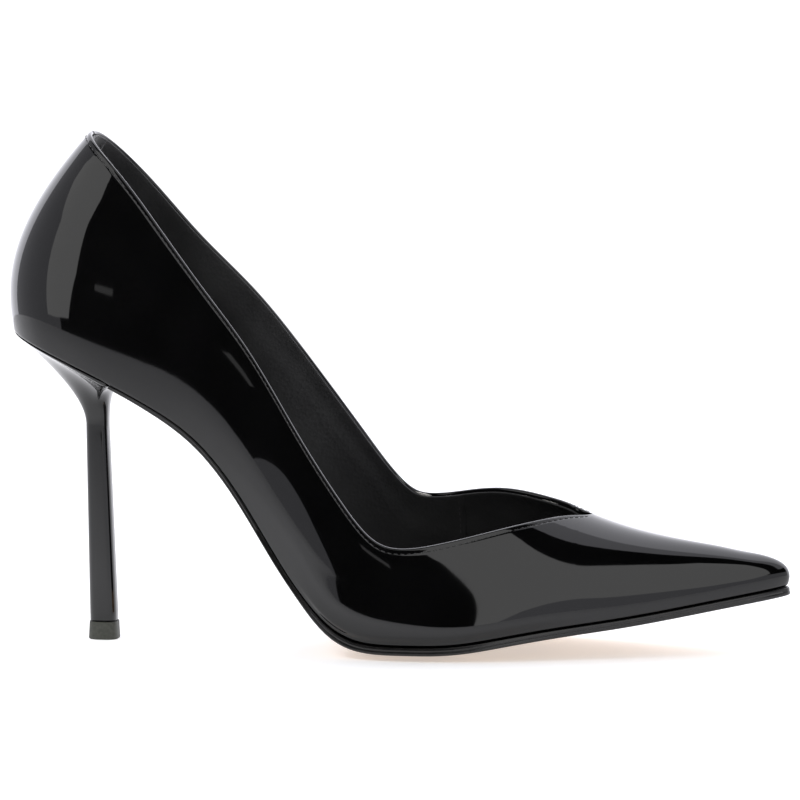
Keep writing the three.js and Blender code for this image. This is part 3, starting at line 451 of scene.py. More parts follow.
def shader_of(material):
    return material.node_tree.nodes["Principled BSDF"]


def place_output(material):
    return add_node(material, "ShaderNodeTexCoord").outputs["Object"]


def noise(material, scale, detail=3.0, stretch=None):
    """A noise whose features are about 1/scale metres, longer along the axes with a small stretch."""
    source = place_output(material)
    if stretch is not None:
        mapping = add_node(material, "ShaderNodeMapping", Scale=stretch)
        link(material, source, mapping.inputs["Vector"])
        source = mapping.outputs["Vector"]
    node = add_node(material, "ShaderNodeTexNoise", Scale=scale, Detail=detail)
    link(material, source, node.inputs["Vector"])
    return node.outputs["Fac"]


def cells(material, scale):
    node = add_node(material, "ShaderNodeTexVoronoi", Scale=scale)
    link(material, place_output(material), node.inputs["Vector"])
    return node.outputs["Distance"]


def vary_colour(material, factor, dark, light, low=0.35, high=0.65):
    """The base colour runs from dark to light while the factor runs from low to high."""
    ramp = add_node(material, "ShaderNodeValToRGB")
    ramp.color_ramp.elements[0].position = low
    ramp.color_ramp.elements[1].position = high
    ramp.color_ramp.elements[0].color = (*dark, 1)
    ramp.color_ramp.elements[1].color = (*light, 1)
    link(material, factor, ramp.inputs["Fac"])
    link(material, ramp.outputs["Color"], shader_of(material).inputs["Base Color"])


def vary_roughness(material, factor, low, high):
    span = add_node(material, "ShaderNodeMapRange", To_Min=low, To_Max=high)
    link(material, factor, span.inputs["Value"])
    link(material, span.outputs["Result"], shader_of(material).inputs["Roughness"])


def add_bump(material, *layers):
    """Bumps in layers: each is a height and its depth in metres."""
    previous = None
    for height, depth in layers:
        bump = add_node(material, "ShaderNodeBump", Strength=1.0, Distance=depth)
        link(material, height, bump.inputs["Height"])
        if previous is not None:
            link(material, previous, bump.inputs["Normal"])
        previous = bump.outputs["Normal"]
    link(material, previous, shader_of(material).inputs["Normal"])


def make_patent():
    material = new_material("patent_leather", (0.001, 0.001, 0.001), 0.045, IOR=1.5)
    vary_colour(material, noise(material, 60), (0.0015, 0.0015, 0.0016), (0.0021, 0.0021, 0.0022))
    vary_roughness(material, noise(material, 140), 0.03, 0.06)
    add_bump(material, (noise(material, 45, 1.0), 0.00005), (noise(material, 700, 2.0), 0.0000012))
    return material


def make_leather(name, dark, light, roughness, grain=900.0, depth=0.00006):
    material = new_material(name, light, roughness, IOR=1.45)
    vary_colour(material, noise(material, 70, 6.0), dark, light)
    vary_roughness(material, noise(material, 320), roughness - 0.06, roughness + 0.08)
    add_bump(material, (cells(material, grain), depth), (noise(material, 110, 4.0), depth * 2))
    return material


def make_suede(name, dark, light):
    material = new_material(name, light, 0.95, Sheen_Weight=0.35, Sheen_Roughness=0.5)
    vary_colour(material, noise(material, 500, 8.0), dark, light)
    add_bump(material, (noise(material, 2600, 6.0), 0.00009))
    return material


def make_rubber(name, dark, light, roughness):
    material = new_material(name, light, roughness, IOR=1.5)
    vary_colour(material, noise(material, 900, 5.0), dark, light)
    vary_roughness(material, noise(material, 500), roughness - 0.08, roughness + 0.08)
    add_bump(material, (noise(material, 1800, 4.0), 0.00003))
    return material


def make_tread_leather():
    material = new_material("sole_leather", (0.5, 0.34, 0.2), 0.5)
    vary_colour(material, noise(material, 120, 8.0, (0.35, 1, 1)), (0.42, 0.27, 0.15), (0.58, 0.4, 0.24))
    vary_roughness(material, noise(material, 260, 5.0), 0.38, 0.6)
    grain = noise(material, 1500, 5.0)
    scuffs = noise(material, 220, 3.0, (0.2, 1, 1))
    add_bump(material, (grain, 0.00003), (scuffs, 0.00004))
    return material


# The outsole's top face shows only in the thin gap under the upper. It is black like the painted edge, and
# made darker and nearly unreflective as painted shade in that gap.
def make_gap_shade_sole_top():
    material = new_material("sole_top_gap_shade", (0.004, 0.004, 0.004), 0.95, Specular_IOR_Level=0.1)
    vary_colour(material, noise(material, 500, 5.0), (0.003, 0.003, 0.003), (0.006, 0.006, 0.006))
    add_bump(material, (noise(material, 1400, 4.0), 0.00004))
    return material


def make_edge_lacquer():
    material = new_material("sole_edge_lacquer", (0.006, 0.006, 0.006), 0.2)
    vary_colour(material, noise(material, 300), (0.005, 0.005, 0.005), (0.01, 0.0095, 0.009))
    vary_roughness(material, noise(material, 400), 0.14, 0.28)
    add_bump(material, (noise(material, 900, 3.0, (0.15, 0.15, 1)), 0.00002))
    return material


def make_moulded(name, dark, light, roughness):
    material = new_material(name, light, roughness)
    vary_colour(material, noise(material, 200, 4.0), dark, light)
    vary_roughness(material, noise(material, 300), roughness - 0.06, roughness + 0.06)
    add_bump(material, (noise(material, 1200, 3.0), 0.00002))
    return material


def make_steel():
    material = new_material("steel", (0.56, 0.57, 0.58), 0.3, Metallic=1.0)
    vary_colour(material, noise(material, 400, 4.0), (0.5, 0.5, 0.51), (0.6, 0.61, 0.62))
    vary_roughness(material, noise(material, 900, 3.0, (0.1, 1, 1)), 0.22, 0.42)
    add_bump(material, (noise(material, 2200, 2.0, (0.08, 1, 1)), 0.000008))
    return material


def make_fibrous(name, dark, light, scale, depth, roughness=0.9, low=0.35, high=0.65):
    material = new_material(name, light, roughness)
    vary_colour(material, noise(material, scale, 8.0), dark, light, low, high)
    vary_roughness(material, noise(material, scale), roughness - 0.1, min(1.0, roughness + 0.08))
    add_bump(material, (noise(material, scale * 1.6, 6.0), depth))
    return material


def make_woven(name, dark, light):
    material = new_material(name, light, 0.85, Sheen_Weight=0.2)
    waves = []
    for axis in ("X", "Z"):
        wave = add_node(material, "ShaderNodeTexWave", Scale=WEAVE_SCALE)
        wave.bands_direction = axis
        link(material, place_output(material), wave.inputs["Vector"])
        waves.append(wave.outputs["Fac"])
    vary_colour(material, waves[0], dark, light, 0.1, 0.9)
    add_bump(material, (waves[0], 0.00004), (waves[1], 0.00004))
    return material


patent = make_patent()
lining_leather = make_leather("lining_leather", (0.019, 0.019, 0.0195), (0.028, 0.028, 0.0285), 0.6)
sock_leather = make_leather("sock_leather", (0.019, 0.019, 0.0195), (0.027, 0.027, 0.0275), 0.55, 700.0)
grip_suede = make_suede("grip_suede", (0.018, 0.018, 0.0185), (0.03, 0.03, 0.031))
thread = make_woven("thread", (0.012, 0.012, 0.012), (0.035, 0.034, 0.034))
lift_rubber = make_rubber("lift_rubber", (0.034, 0.036, 0.029), (0.05, 0.052, 0.042), 0.62)
tread_leather = make_tread_leather()
edge_lacquer = make_edge_lacquer()
sole_top_gap_shade = make_gap_shade_sole_top()
heel_plastic = make_moulded("heel_plastic", (0.12, 0.11, 0.1), (0.17, 0.16, 0.15), 0.45)
steel = make_steel()
stiffener_fibre = make_fibrous("stiffener_fibre", (0.42, 0.35, 0.24), (0.58, 0.5, 0.36), 700.0, 0.00005)
board_fibre = make_fibrous("board_fibre", (0.2, 0.15, 0.09), (0.34, 0.27, 0.18), 900.0, 0.00004)
cork_filler = make_fibrous("cork_filler", (0.16, 0.08, 0.04), (0.46, 0.29, 0.16), 520.0, 0.00012,
                           0.92, 0.42, 0.56)
pad_foam = make_fibrous("pad_foam", (0.62, 0.58, 0.5), (0.76, 0.72, 0.64), 1600.0, 0.0001, 0.95)
edge_tape = make_woven("edge_tape", (0.62, 0.6, 0.55), (0.8, 0.78, 0.74))

CARRIED = (
    (stiffener_fibre, ("toe_puff", "heel_counter")),
    (edge_tape, ("topline_tape",)),
    (board_fibre, ("insole_board", "shank_board")),
    (cork_filler, ("forefoot_filler",)),
    (heel_plastic, ("heel_core",)),
    (steel, ("steel_shank", "shank_rivet_rear", "shank_rivet_front", "heel_pin", "top_piece_dowel",
             "heel_screw", "heel_nail_1", "heel_nail_2", "heel_nail_3", "heel_nail_4")),
)
for material, carried_names in CARRIED:
    for node_name in carried_names:
        carried = nodes[node_name]
        carried.data.materials.clear()
        carried.data.materials.append(material)


# -------------------- the upper

COLUMN_STEP = 1 / 12
COLUMNS_BY_SEAM = (0.006, 0.012, 0.018, 0.026, 0.036, 0.05)
COLUMNS_BEHIND_VAMP = (0.15, 0.12, 0.09, 0.06, 0.04, 0.02, 0.008)
FEATHER_FILLET = 0.9
FILLET_POINTS = 8
MARGIN_INSETS = (8.0, 4.0, 2.0)
WALL_STEPS = 44
WALL_EASE = 1.3
EDGE_BAND = 6.0
EDGE_STEPS = 24
EDGE_EASE = 0.8
ROLL_RADIUS = 0.8
ROLL_STEPS = 10
ROLL_TUCK = (4.0, 8.0)
ROLL_FADE = 0.15
STITCH_BELOW = 2.0
STITCH_GROOVE = 0.1
STITCH_GROOVE_WIDTH = 0.35
SEAM_GROOVE = 0.16
SEAM_GROOVE_WIDTH = 0.25
BACK_SPEED = 13.5
BALL_SWELL = 0.9
SWELL_START = (64.0, 84.0)
SWELL_END = (128.0, 165.0)
SWELL_PEAK = 3.5
SWELL_TOP = 16.0


def side_places():
    """Places of the mesh columns along one side, closer at the back seam and the vamp point."""
    steps = np.arange(0, TIP + COLUMN_STEP / 2, COLUMN_STEP)
    behind_vamp = VAMP_STATION - np.array(COLUMNS_BEHIND_VAMP)
    return np.unique(np.round(np.concatenate([steps, COLUMNS_BY_SEAM, behind_vamp]), 6))


def loop_places():
    side = side_places()
    return np.concatenate([side, LOOP - side[1:-1][::-1]])


def edge_share(s):
    """1 along the toplines, falling to 0 at the vamp point and ahead of it."""
    near = np.minimum(np.mod(s, LOOP), LOOP - np.mod(s, LOOP))
    return smooth_step(VAMP_STATION - near, 0, ROLL_FADE)


def ball_swell(s, v):
    """How much fuller the wall stands just above the sole beside the ball."""
    x = track["x"](s)
    height = v / above_feather(s, 1.0)
    along = smooth_step(x, *SWELL_START) * (1 - smooth_step(x, *SWELL_END))
    up = smooth_step(height, FEATHER_FILLET, SWELL_PEAK) * (1 - smooth_step(height, SWELL_PEAK, SWELL_TOP))
    return BALL_SWELL * along * up


def make_upper():
    """The skin from the turned margin up the wall, over the rolled topline and down inside."""
    s = loop_places()[:, None]
    share = edge_share(s)
    seam = np.minimum(s, LOOP - s) * BACK_SPEED
    seam_depth = SEAM_GROOVE * np.exp(-(seam / SEAM_GROOVE_WIDTH) ** 2)

    margin = plan_point(s, np.array([MARGIN_INSETS]))
    margin = bottom_point(margin[..., 0], margin[..., 1])
    t = np.linspace(0, 1, FILLET_POINTS)[None, :, None]
    turn = plan_point(s, np.array([[FEATHER_FILLET]]))
    low = bottom_point(turn[..., 0], turn[..., 1])
    corner = last_point(s, np.zeros_like(s))
    start_v = above_feather(s, FEATHER_FILLET)
    high = last_point(s, start_v)
    fillet = low * (1 - t) ** 2 + corner * 2 * t * (1 - t) + high * t * t

    band_v = below_topline(s, EDGE_BAND)
    wall_v = mix(start_v, band_v, np.linspace(0, 1, WALL_STEPS + 1)[None, 1:] ** WALL_EASE)
    wall = skin_point(np.broadcast_to(s, wall_v.shape), wall_v, seam_depth - ball_swell(s, wall_v))

    fall = np.linspace(0, 1, EDGE_STEPS + 1)[None, 1:] ** EDGE_EASE
    height = mix(EDGE_BAND, ROLL_RADIUS * share, fall)
    groove = STITCH_GROOVE * np.exp(-((height - STITCH_BELOW) / STITCH_GROOVE_WIDTH) ** 2) * share
    angle = np.linspace(0, math.pi, ROLL_STEPS + 1)[None, 1:]
    roll_height = ROLL_RADIUS * share * (1 - np.sin(angle))
    roll_depth = ROLL_RADIUS * share * (1 - np.cos(angle))
    tuck_height = share * np.array([ROLL_TUCK])
    tuck_depth = 2 * ROLL_RADIUS * share * np.ones((1, len(ROLL_TUCK)))
    heights = np.concatenate([height, roll_height, tuck_height], 1)
    depths = np.concatenate([groove + seam_depth, roll_depth + seam_depth, tuck_depth], 1)
    top = topline_at(s)
    edge_v = top - heights * (top - below_topline(s, 1.0))
    edge = skin_point(np.broadcast_to(s, edge_v.shape), edge_v, depths)

    builder = Builder()
    builder.grid(np.concatenate([margin, fillet, wall, edge], 1), closed_rows=True)
    piece = builder.finish("upper_skin", [patent], auto_normals=False)
    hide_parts("upper")


make_upper()


# -------------------- stitching

STITCH_PITCH = 2.1
STITCH_LENGTH = 1.45
STITCH_RADIUS = 0.15
STITCH_AIM = 0.3
STITCH_BLUNTNESS = 0.6
STITCH_FLATNESS = 0.8
STITCH_RINGS = 7
STITCH_TURNS = 9
STITCH_SINK = 0.02
STITCH_STOP = 0.04
TOPLINE_SAMPLES = 900


def stitches(builder, path, normals):
    """Short threads laid along a path, sunk a little into the surface."""
    steps = np.linalg.norm(np.diff(path, axis=0), axis=1)
    along = np.concatenate([[0], np.cumsum(steps)])
    count = int(along[-1] / STITCH_PITCH)
    places = (np.arange(count) + 0.5) * along[-1] / count

    def at(distance, values):
        return np.stack([np.interp(distance, along, values[:, k]) for k in range(3)], 1)

    centre = at(places, path)
    tangent = unit(at(places + STITCH_AIM, path) - centre)
    up = unit(at(places, normals))
    across = unit(np.cross(up, tangent))
    rings = np.linspace(0, math.pi, STITCH_RINGS)
    turns = np.linspace(0, 2 * math.pi, STITCH_TURNS)
    for place, direction, side, top in zip(centre, tangent, across, up):
        points = [[place - direction * STITCH_LENGTH / 2 * math.cos(a)
                   + STITCH_RADIUS * math.sin(a) ** STITCH_BLUNTNESS
                   * (side * math.cos(b) + top * STITCH_FLATNESS * math.sin(b))
                   for b in turns] for a in rings]
        builder.grid(np.array(points))


def topline_stitching():
    s = np.linspace(-VAMP_STATION + STITCH_STOP, VAMP_STATION - STITCH_STOP, TOPLINE_SAMPLES)
    v = below_topline(s, STITCH_BELOW)
    path = skin_point(s, v, STITCH_SINK)
    builder = Builder()
    stitches(builder, path, side_normal(np.mod(s, LOOP), v))
    builder.finish("topline_stitching", [thread])


topline_stitching()


# -------------------- linings

LINING_STEPS = 36
LINING_FOOT = 1.7
LINING_EDGE_BELOW = 0.55
LINING_EDGE_RADIUS = 0.3
LINING_EDGE_POINTS = 9
LINING_RISE_START = 16.0
LINING_RISE_END = 6.0
LINING_COLUMN = 0.08
COLUMNS_AROUND_VAMP = (-0.1, -0.05, -0.02, 0.0, 0.02, 0.05, 0.1)
GRIP_PROUD = 0.25
QUARTER_PROUD = 0.12
GRIP_LAP = 0.06
GRIP_STITCH_OFFSET = 0.12
LAP_STITCH_OFFSET = 0.05
ROW_FOOT = 10.0
ROW_TOP = 2.5
ROW_SAMPLES = 200


def lining_depth(s, v):
    """Depth of the lining's outer face, which comes up to the rolled edge near the topline."""
    near = smooth_step(v, below_topline(s, LINING_RISE_START), below_topline(s, LINING_RISE_END))
    return mix(LINING_OUTER_DEPTH, LINING_TOP_DEPTH, near * edge_share(s))


def make_lining(name, node, start, end, material, proud=0.0):
    count = int((end - start) / LINING_COLUMN) + 1
    places = set(np.linspace(start, end, count))
    for vamp in (VAMP_STATION, LOOP - VAMP_STATION):
        places |= {vamp + d for d in COLUMNS_AROUND_VAMP if start < vamp + d < end}
    s = np.array(sorted(places))[:, None]
    share = edge_share(s)
    thickness = LINING_THICKNESS + proud
    top = topline_at(s)
    speed = top - below_topline(s, 1.0)
    foot = above_feather(s, LINING_FOOT)
    face_top = top - (LINING_EDGE_BELOW + LINING_EDGE_RADIUS) * share * speed
    v = mix(foot, face_top, np.linspace(0, 1, LINING_STEPS + 1)[None, :])
    wide = np.broadcast_to(s, v.shape)
    depth = lining_depth(wide, v)
    inner = skin_point(wide, v, depth + thickness)
    outer = skin_point(wide, v, depth)
    angle = np.linspace(0, math.pi, LINING_EDGE_POINTS)[None, :]
    edge_v = face_top + LINING_EDGE_RADIUS * share * speed * np.sin(angle)
    edge_depth = depth[:, -1:] + thickness / 2 * (1 + np.cos(angle))
    edge = skin_point(np.broadcast_to(s, edge_v.shape), edge_v, edge_depth)
    builder = Builder()
    builder.grid(inner, flip=True)
    builder.grid(outer)
    builder.grid(np.stack([inner[:, 0], outer[:, 0]], 1))
    for open_columns in (s[:, 0] <= VAMP_STATION, s[:, 0] >= LOOP - VAMP_STATION):
        if open_columns.sum() > 1:
            builder.grid(edge[open_columns], flip=True)
    for end_row in (0, -1):
        builder.grid(np.stack([inner[end_row], outer[end_row]], 0))
    piece = builder.finish(name, [material])
    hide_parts(node)


make_lining("lining_vamp", "vamp_lining", VAMP_LINING_STATION, LOOP - VAMP_LINING_STATION,
            lining_leather)
make_lining("lining_quarter_lateral", "quarter_lining_lateral", GRIP_STATION, VAMP_LINING_STATION + GRIP_LAP,
            lining_leather, QUARTER_PROUD)
make_lining("lining_quarter_medial", "quarter_lining_medial", LOOP - VAMP_LINING_STATION - GRIP_LAP,
            LOOP - GRIP_STATION, lining_leather, QUARTER_PROUD)
make_lining("heel_grip_suede", "heel_grip", -GRIP_STATION - GRIP_LAP, GRIP_STATION + GRIP_LAP,
            grip_suede, GRIP_PROUD)


def seam_stitching():
    """Stitch rows inside, beside the heel grip and where the quarter linings lap the vamp lining."""
    builder = Builder()
    by_grip = GRIP_STATION - GRIP_STITCH_OFFSET
    by_lap = VAMP_LINING_STATION - LAP_STITCH_OFFSET
    rows = [(by_grip, GRIP_PROUD), (LOOP - by_grip, GRIP_PROUD), (by_lap, QUARTER_PROUD),
            (LOOP - by_lap, QUARTER_PROUD)]
    for place, proud in rows:
        s = np.full(ROW_SAMPLES, place)
        low = float(above_feather(np.array([place]), ROW_FOOT)[0])
        high = float(below_topline(np.array([place]), ROW_TOP)[0])
        v = np.linspace(low, high, ROW_SAMPLES)
        depth = lining_depth(s, v) + LINING_THICKNESS + proud - STITCH_SINK
        stitches(builder, skin_point(s, v, depth), -side_normal(s, v))
    builder.finish("lining_stitching", [thread])


seam_stitching()


# -------------------- insole, pads and sock liner

SHANK_BOARD_END = (76.0, 98.0)
PLATE_STEP = 0.12
PLATE_SHARP = 50
ACROSS_EASE = 1.3
SOCK_STEPS = 26
SOCK_RIM_SHARE = 0.05
SOCK_RIM_DROP = 0.35
SOCK_CLEARANCE = 0.22
PAD_STEPS = 14


def insole_bottom(x):
    rear = 1 - smooth_step(x, *SHANK_BOARD_END)
    return UPPER_THICKNESS + GAP + (SHANK_BOARD_THICKNESS + GAP) * rear


def insole_top(x):
    return insole_bottom(x) + INSOLE_THICKNESS


def pad_height(x, share, drape=0.0):
    """Thickness of the pads, and of the sock's lift over them where drape widens their ends."""
    heel = 1 - smooth_step(x, HEEL_PAD_FRONT_X - PAD_SKIVE + drape, HEEL_PAD_FRONT_X + drape)
    back = smooth_step(x, BALL_PAD_BACK_X - drape, BALL_PAD_BACK_X + PAD_SKIVE - drape)
    front = smooth_step(x, BALL_PAD_FRONT_X - PAD_SKIVE + drape, BALL_PAD_FRONT_X + drape)
    across = smooth_step(share, 0, PAD_SIDE_SHARE)
    return PAD_EDGE + (PAD_THICKNESS - PAD_EDGE) * (heel + back * (1 - front)) * across


def across_shares(steps):
    half = np.linspace(0, 1, steps + 1) ** ACROSS_EASE
    return np.concatenate([half, half[:-1][::-1]])


def plate_sheet(places, steps, edge, level):
    """A sheet across the bottom: edge gives its border in plan at each loop place."""
    shares = across_shares(steps)[None, :]
    lateral = np.arange(shares.shape[1]) <= steps
    s = np.where(lateral[None, :], places[:, None], LOOP - places[:, None])
    s = np.mod(s, LOOP)
    border = edge(s)
    spine = spine_point(s)
    plan = border + (spine - border) * shares[..., None]
    shares = np.broadcast_to(shares, s.shape)
    return bottom_point(plan[..., 0], plan[..., 1], level(plan[..., 0], shares))


def closed_plate(name, material, places, steps, edge, bottom, top, cap_ends):
    low = plate_sheet(places, steps, edge, bottom)
    high = plate_sheet(places, steps, edge, top)
    builder = Builder()
    builder.grid(low)
    builder.grid(high, flip=True)
    for side in (0, -1):
        bulge = (low[:, side] + high[:, side]) / 2
        builder.grid(np.stack([low[:, side], bulge, high[:, side]], 1), flip=side == 0)
    for end in cap_ends:
        builder.grid(np.stack([low[end], high[end]], 0))
    return builder.finish(name, [material], sharp=PLATE_SHARP)


def fine_places(start, end, step=PLATE_STEP):
    return np.linspace(start, end, int((end - start) / step) + 2)


def make_sock():
    def under(x, share):
        return insole_top(x) + 2 * GAP + pad_height(x, share, SOCK_DRAPE)

    def over(x, share):
        rim = 1 - smooth_step(share, 0, SOCK_RIM_SHARE)
        return under(x, share) + SOCK_THICKNESS - SOCK_RIM_DROP * rim

    def edge(s):
        x = track["x"](s)
        height = insole_top(x) + 2 * GAP + PAD_EDGE + SOCK_THICKNESS
        wall = skin_point(s, above_feather(s, height), WALL_THICKNESS + SOCK_CLEARANCE)
        return wall[..., :2]

    piece = closed_plate("sock_liner_leather", sock_leather, fine_places(0, TIP), SOCK_STEPS,
                         edge, under, over, ())
    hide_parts("sock_liner")


def make_pad(name, node, start, end, cap_ends):
    def under(x, share):
        return insole_top(x) + GAP

    def over(x, share):
        return insole_top(x) + GAP + pad_height(x, share)

    def edge(s):
        return plan_point(s, WALL_THICKNESS + GAP + PAD_INSET)

    piece = closed_plate(name, pad_foam, fine_places(start, end), PAD_STEPS,
                         edge, under, over, cap_ends)
    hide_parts(node)


make_sock()
make_pad("heel_pad_foam", "heel_pad", 0, station_at_x(HEEL_PAD_FRONT_X), (-1,))
make_pad("ball_pad_foam", "ball_pad", station_at_x(BALL_PAD_BACK_X), station_at_x(BALL_PAD_FRONT_X), (0, -1))


# -------------------- outsole

SOLE_FORE = 2.6
SOLE_WAIST = 1.7
SOLE_BREAST = 1.1
SOLE_RAMP = (66.0, 88.0)
SOLE_WAIST_X = 34.0
SOLE_WAIST_INSET = 0.9
SOLE_FORE_INSET = -0.6
SOLE_STEPS = 22
SOLE_STEP = 0.08
SOLE_WELD = 0.002
SOLE_SHARP = 60
TREAD_ROUND = 0.22
TREAD_ROUND_POINTS = 6
TOP_ROUND = 0.14
TOP_ROUND_POINTS = 5
EDGE_GROOVE = 0.05
EDGE_ROWS = ((0, 0.36), (0, 0.44), (EDGE_GROOVE, 0.47), (EDGE_GROOVE, 0.5), (0, 0.53), (0, 0.7))
TREAD_START_X = 76.0


def sole_thickness(x):
    fore = smooth_step(x, *SOLE_RAMP)
    waist = smooth_step(x, BREAST_X, SOLE_WAIST_X)
    return mix(mix(SOLE_BREAST, SOLE_WAIST, waist), SOLE_FORE, fore)


def sole_inset(x):
    return mix(SOLE_WAIST_INSET, SOLE_FORE_INSET, smooth_step(x, *SOLE_RAMP))


def sole_edge_profile():
    """Inset and height of the sole's edge, both as shares of its thickness, from the tread up."""
    profile = [(TREAD_ROUND * (1 - math.sin(a)), TREAD_ROUND * (1 - math.cos(a)))
               for a in np.linspace(0, math.pi / 2, TREAD_ROUND_POINTS)]
    profile += EDGE_ROWS
    profile += [(TOP_ROUND * (1 - math.cos(a)), 1 - TOP_ROUND + TOP_ROUND * math.sin(a))
                for a in np.linspace(0, math.pi / 2, TOP_ROUND_POINTS)]
    return np.array(profile)


def make_outsole():
    places = fine_places(station_at_x(BREAST_X + GAP), TIP, SOLE_STEP)
    profile = sole_edge_profile()

    def at_inset(share):
        def edge(s):
            x = track["x"](s)
            return plan_point(s, sole_inset(x) + share * sole_thickness(x))
        return edge

    def tread_level(x, share):
        return -GAP - sole_thickness(x)

    def sole_top_level(x, share):
        return np.full_like(x, -GAP)

    def grounded(points):
        points[..., 2] = np.maximum(points[..., 2], 0)
        return points

    low = grounded(plate_sheet(places, SOLE_STEPS, at_inset(profile[0, 0]), tread_level))
    high = plate_sheet(places, SOLE_STEPS, at_inset(profile[-1, 0]), sole_top_level)
    builder = Builder()
    tread_row = int(np.argmin(np.abs(track["x"](places) - TREAD_START_X)))
    builder.grid(low[:tread_row + 1], slot=0)
    builder.grid(low[tread_row:], slot=1)
    # The top face takes the near-black, nearly unreflective material: painted shade in the gap under the
    # upper.
    builder.grid(high, slot=2, flip=True)
    for side in (0, 1):
        s = places if side == 0 else LOOP - places
        rows = []
        for inset, rise in profile:
            plan = at_inset(inset)(np.mod(s, LOOP))
            height = -GAP - sole_thickness(plan[:, 0]) * (1 - rise)
            rows.append(bottom_point(plan[:, 0], plan[:, 1], height))
        builder.grid(grounded(np.stack(rows, 1)), slot=0, flip=side == 0)
    builder.grid(np.stack([low[0], high[0]], 0), slot=0)
    piece = builder.finish("outsole_leather", [edge_lacquer, tread_leather, sole_top_gap_shade],
                           weld=SOLE_WELD, sharp=SOLE_SHARP)
    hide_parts("outsole")


make_outsole()


# -------------------- heel

TOP_PIECE_HEIGHT = 5.8
HEEL_FOOT = TOP_PIECE_HEIGHT + GAP
NECK_DROP = 14.5
NECK_HEIGHT = float(bottom_height(BREAST_X, 0.0)) - GAP - NECK_DROP
NECK_X = -1.8
NECK_LENGTH = 7.4
NECK_WIDTH = 7.8
STEM_LENGTH = 9.0
STEM_WIDTH = 8.8
SHOULDER = 8.0
BACK_POWER = 0.75
FRONT_POWER = 0.6
SEAT_INSET = 0.5
RIM_INSET = 2.0
# How far the cup's curve is drawn to the neck, at the breast and at the back: in plan, then in height.
REACH_PLAN = (0.84, 0.6)
REACH_DROP = (0.08, 0.42)
CUP_EASE = 1.25
# Height over the heel's foot and inset of the last rings, then of the flat foot.
FOOT_RINGS = ((0.09, 0.08), (0.0, 0.3), (0.0, 2.5))
FOOT_ROUND = 0.3
HEEL_WELD = 0.001
HEEL_SHARP = 70
BACK_POINTS = 120
FRONT_POINTS = 60
CUP_ROWS = 60
STEM_ROWS = 24
BREAST_LIP = 1.1
CORNER_SPREAD = 4
CORNER_PASSES = 8
LIP_START_ROW = 3
LIP_ROWS = 8
TOP_PIECE_WIDTH = 9.4
TOP_PIECE_FLARE = 0.25
TOP_PIECE_SHARP = 60
# Height and inset of the rings from the ground face up.
TOP_PIECE_RINGS = (
    (0, 4.0), (0, 0.5), (0.04, 0.28), (0.14, 0.1), (0.32, 0), (2, 0), (4, 0),
    (TOP_PIECE_HEIGHT - 0.2, 0), (TOP_PIECE_HEIGHT - 0.05, 0.07), (TOP_PIECE_HEIGHT, 0.2),
    (TOP_PIECE_HEIGHT, 4.0))


def rounded(value, power):
    return np.sign(value) * np.abs(value) ** power


def oval(middle, length, width, height):
    """A squarish ring round a middle in x, from the inner side round the back and along the front."""
    back = np.linspace(0, math.pi, BACK_POINTS + 1)
    front = np.linspace(math.pi, 2 * math.pi, FRONT_POINTS + 1)[1:-1]
    angle = np.concatenate([back, front])
    power = np.where(angle <= math.pi, BACK_POWER, FRONT_POWER)
    x = middle - length / 2 * rounded(np.sin(angle), power)
    y = width / 2 * rounded(np.cos(angle), power)
    return np.stack([x, y, np.full_like(x, height)], -1)


def stem_ring(height, inset=0.0):
    t = (height - HEEL_FOOT) / (NECK_HEIGHT - HEEL_FOOT)
    length = mix(STEM_LENGTH, NECK_LENGTH, t) - 2 * inset
    width = mix(STEM_WIDTH, NECK_WIDTH, t) - 2 * inset
    return oval(NECK_X * t, length, width, height)


def seat_ring(inset, lip):
    """A ring under the seat, dropped by the lip along the breast, and how far behind it each point is."""
    corner = station_at_x(BREAST_X)
    u = np.linspace(0, 1, BACK_POINTS + 1)
    s = np.mod(mix(-corner, corner, u), LOOP)
    place = plan_point(s, np.full_like(s, SEAT_INSET + inset))
    front_x = BREAST_X - inset
    place[:, 0] = np.minimum(place[:, 0], front_x)
    place[[0, -1], 0] = front_x
    w = np.linspace(0, 1, FRONT_POINTS + 1)[1:-1, None]
    front = place[-1] + (place[0] - place[-1]) * w
    behind = np.concatenate([np.sin(math.pi * u), np.zeros(FRONT_POINTS - 1)])
    plan = np.concatenate([place, front])
    return bottom_point(plan[:, 0], plan[:, 1], -GAP - lip * (1 - behind)), behind[:, None]


def soften(rings):
    """Rounds the breast corners along the rings, and the lip's edge across them."""
    count = rings.shape[1]
    first = LIP_START_ROW
    index = np.arange(count)
    near = np.zeros(count, bool)
    for corner in (0, BACK_POINTS):
        gap = np.abs((index - corner + count // 2) % count - count // 2)
        near |= gap <= CORNER_SPREAD
    for _ in range(CORNER_PASSES):
        average = (np.roll(rings, 1, 1) + 2 * rings + np.roll(rings, -1, 1)) / 4
        rings = np.where(near[None, :, None], average, rings)
        inner = rings.copy()
        inner[first:-1] = (rings[first - 1:-2] + 2 * rings[first:-1] + rings[first + 1:]) / 4
        rings[first:first + LIP_ROWS] = inner[first:first + LIP_ROWS]
    return rings


def closed_ring(rings):
    return np.concatenate([rings, rings[:, :1]], 1)


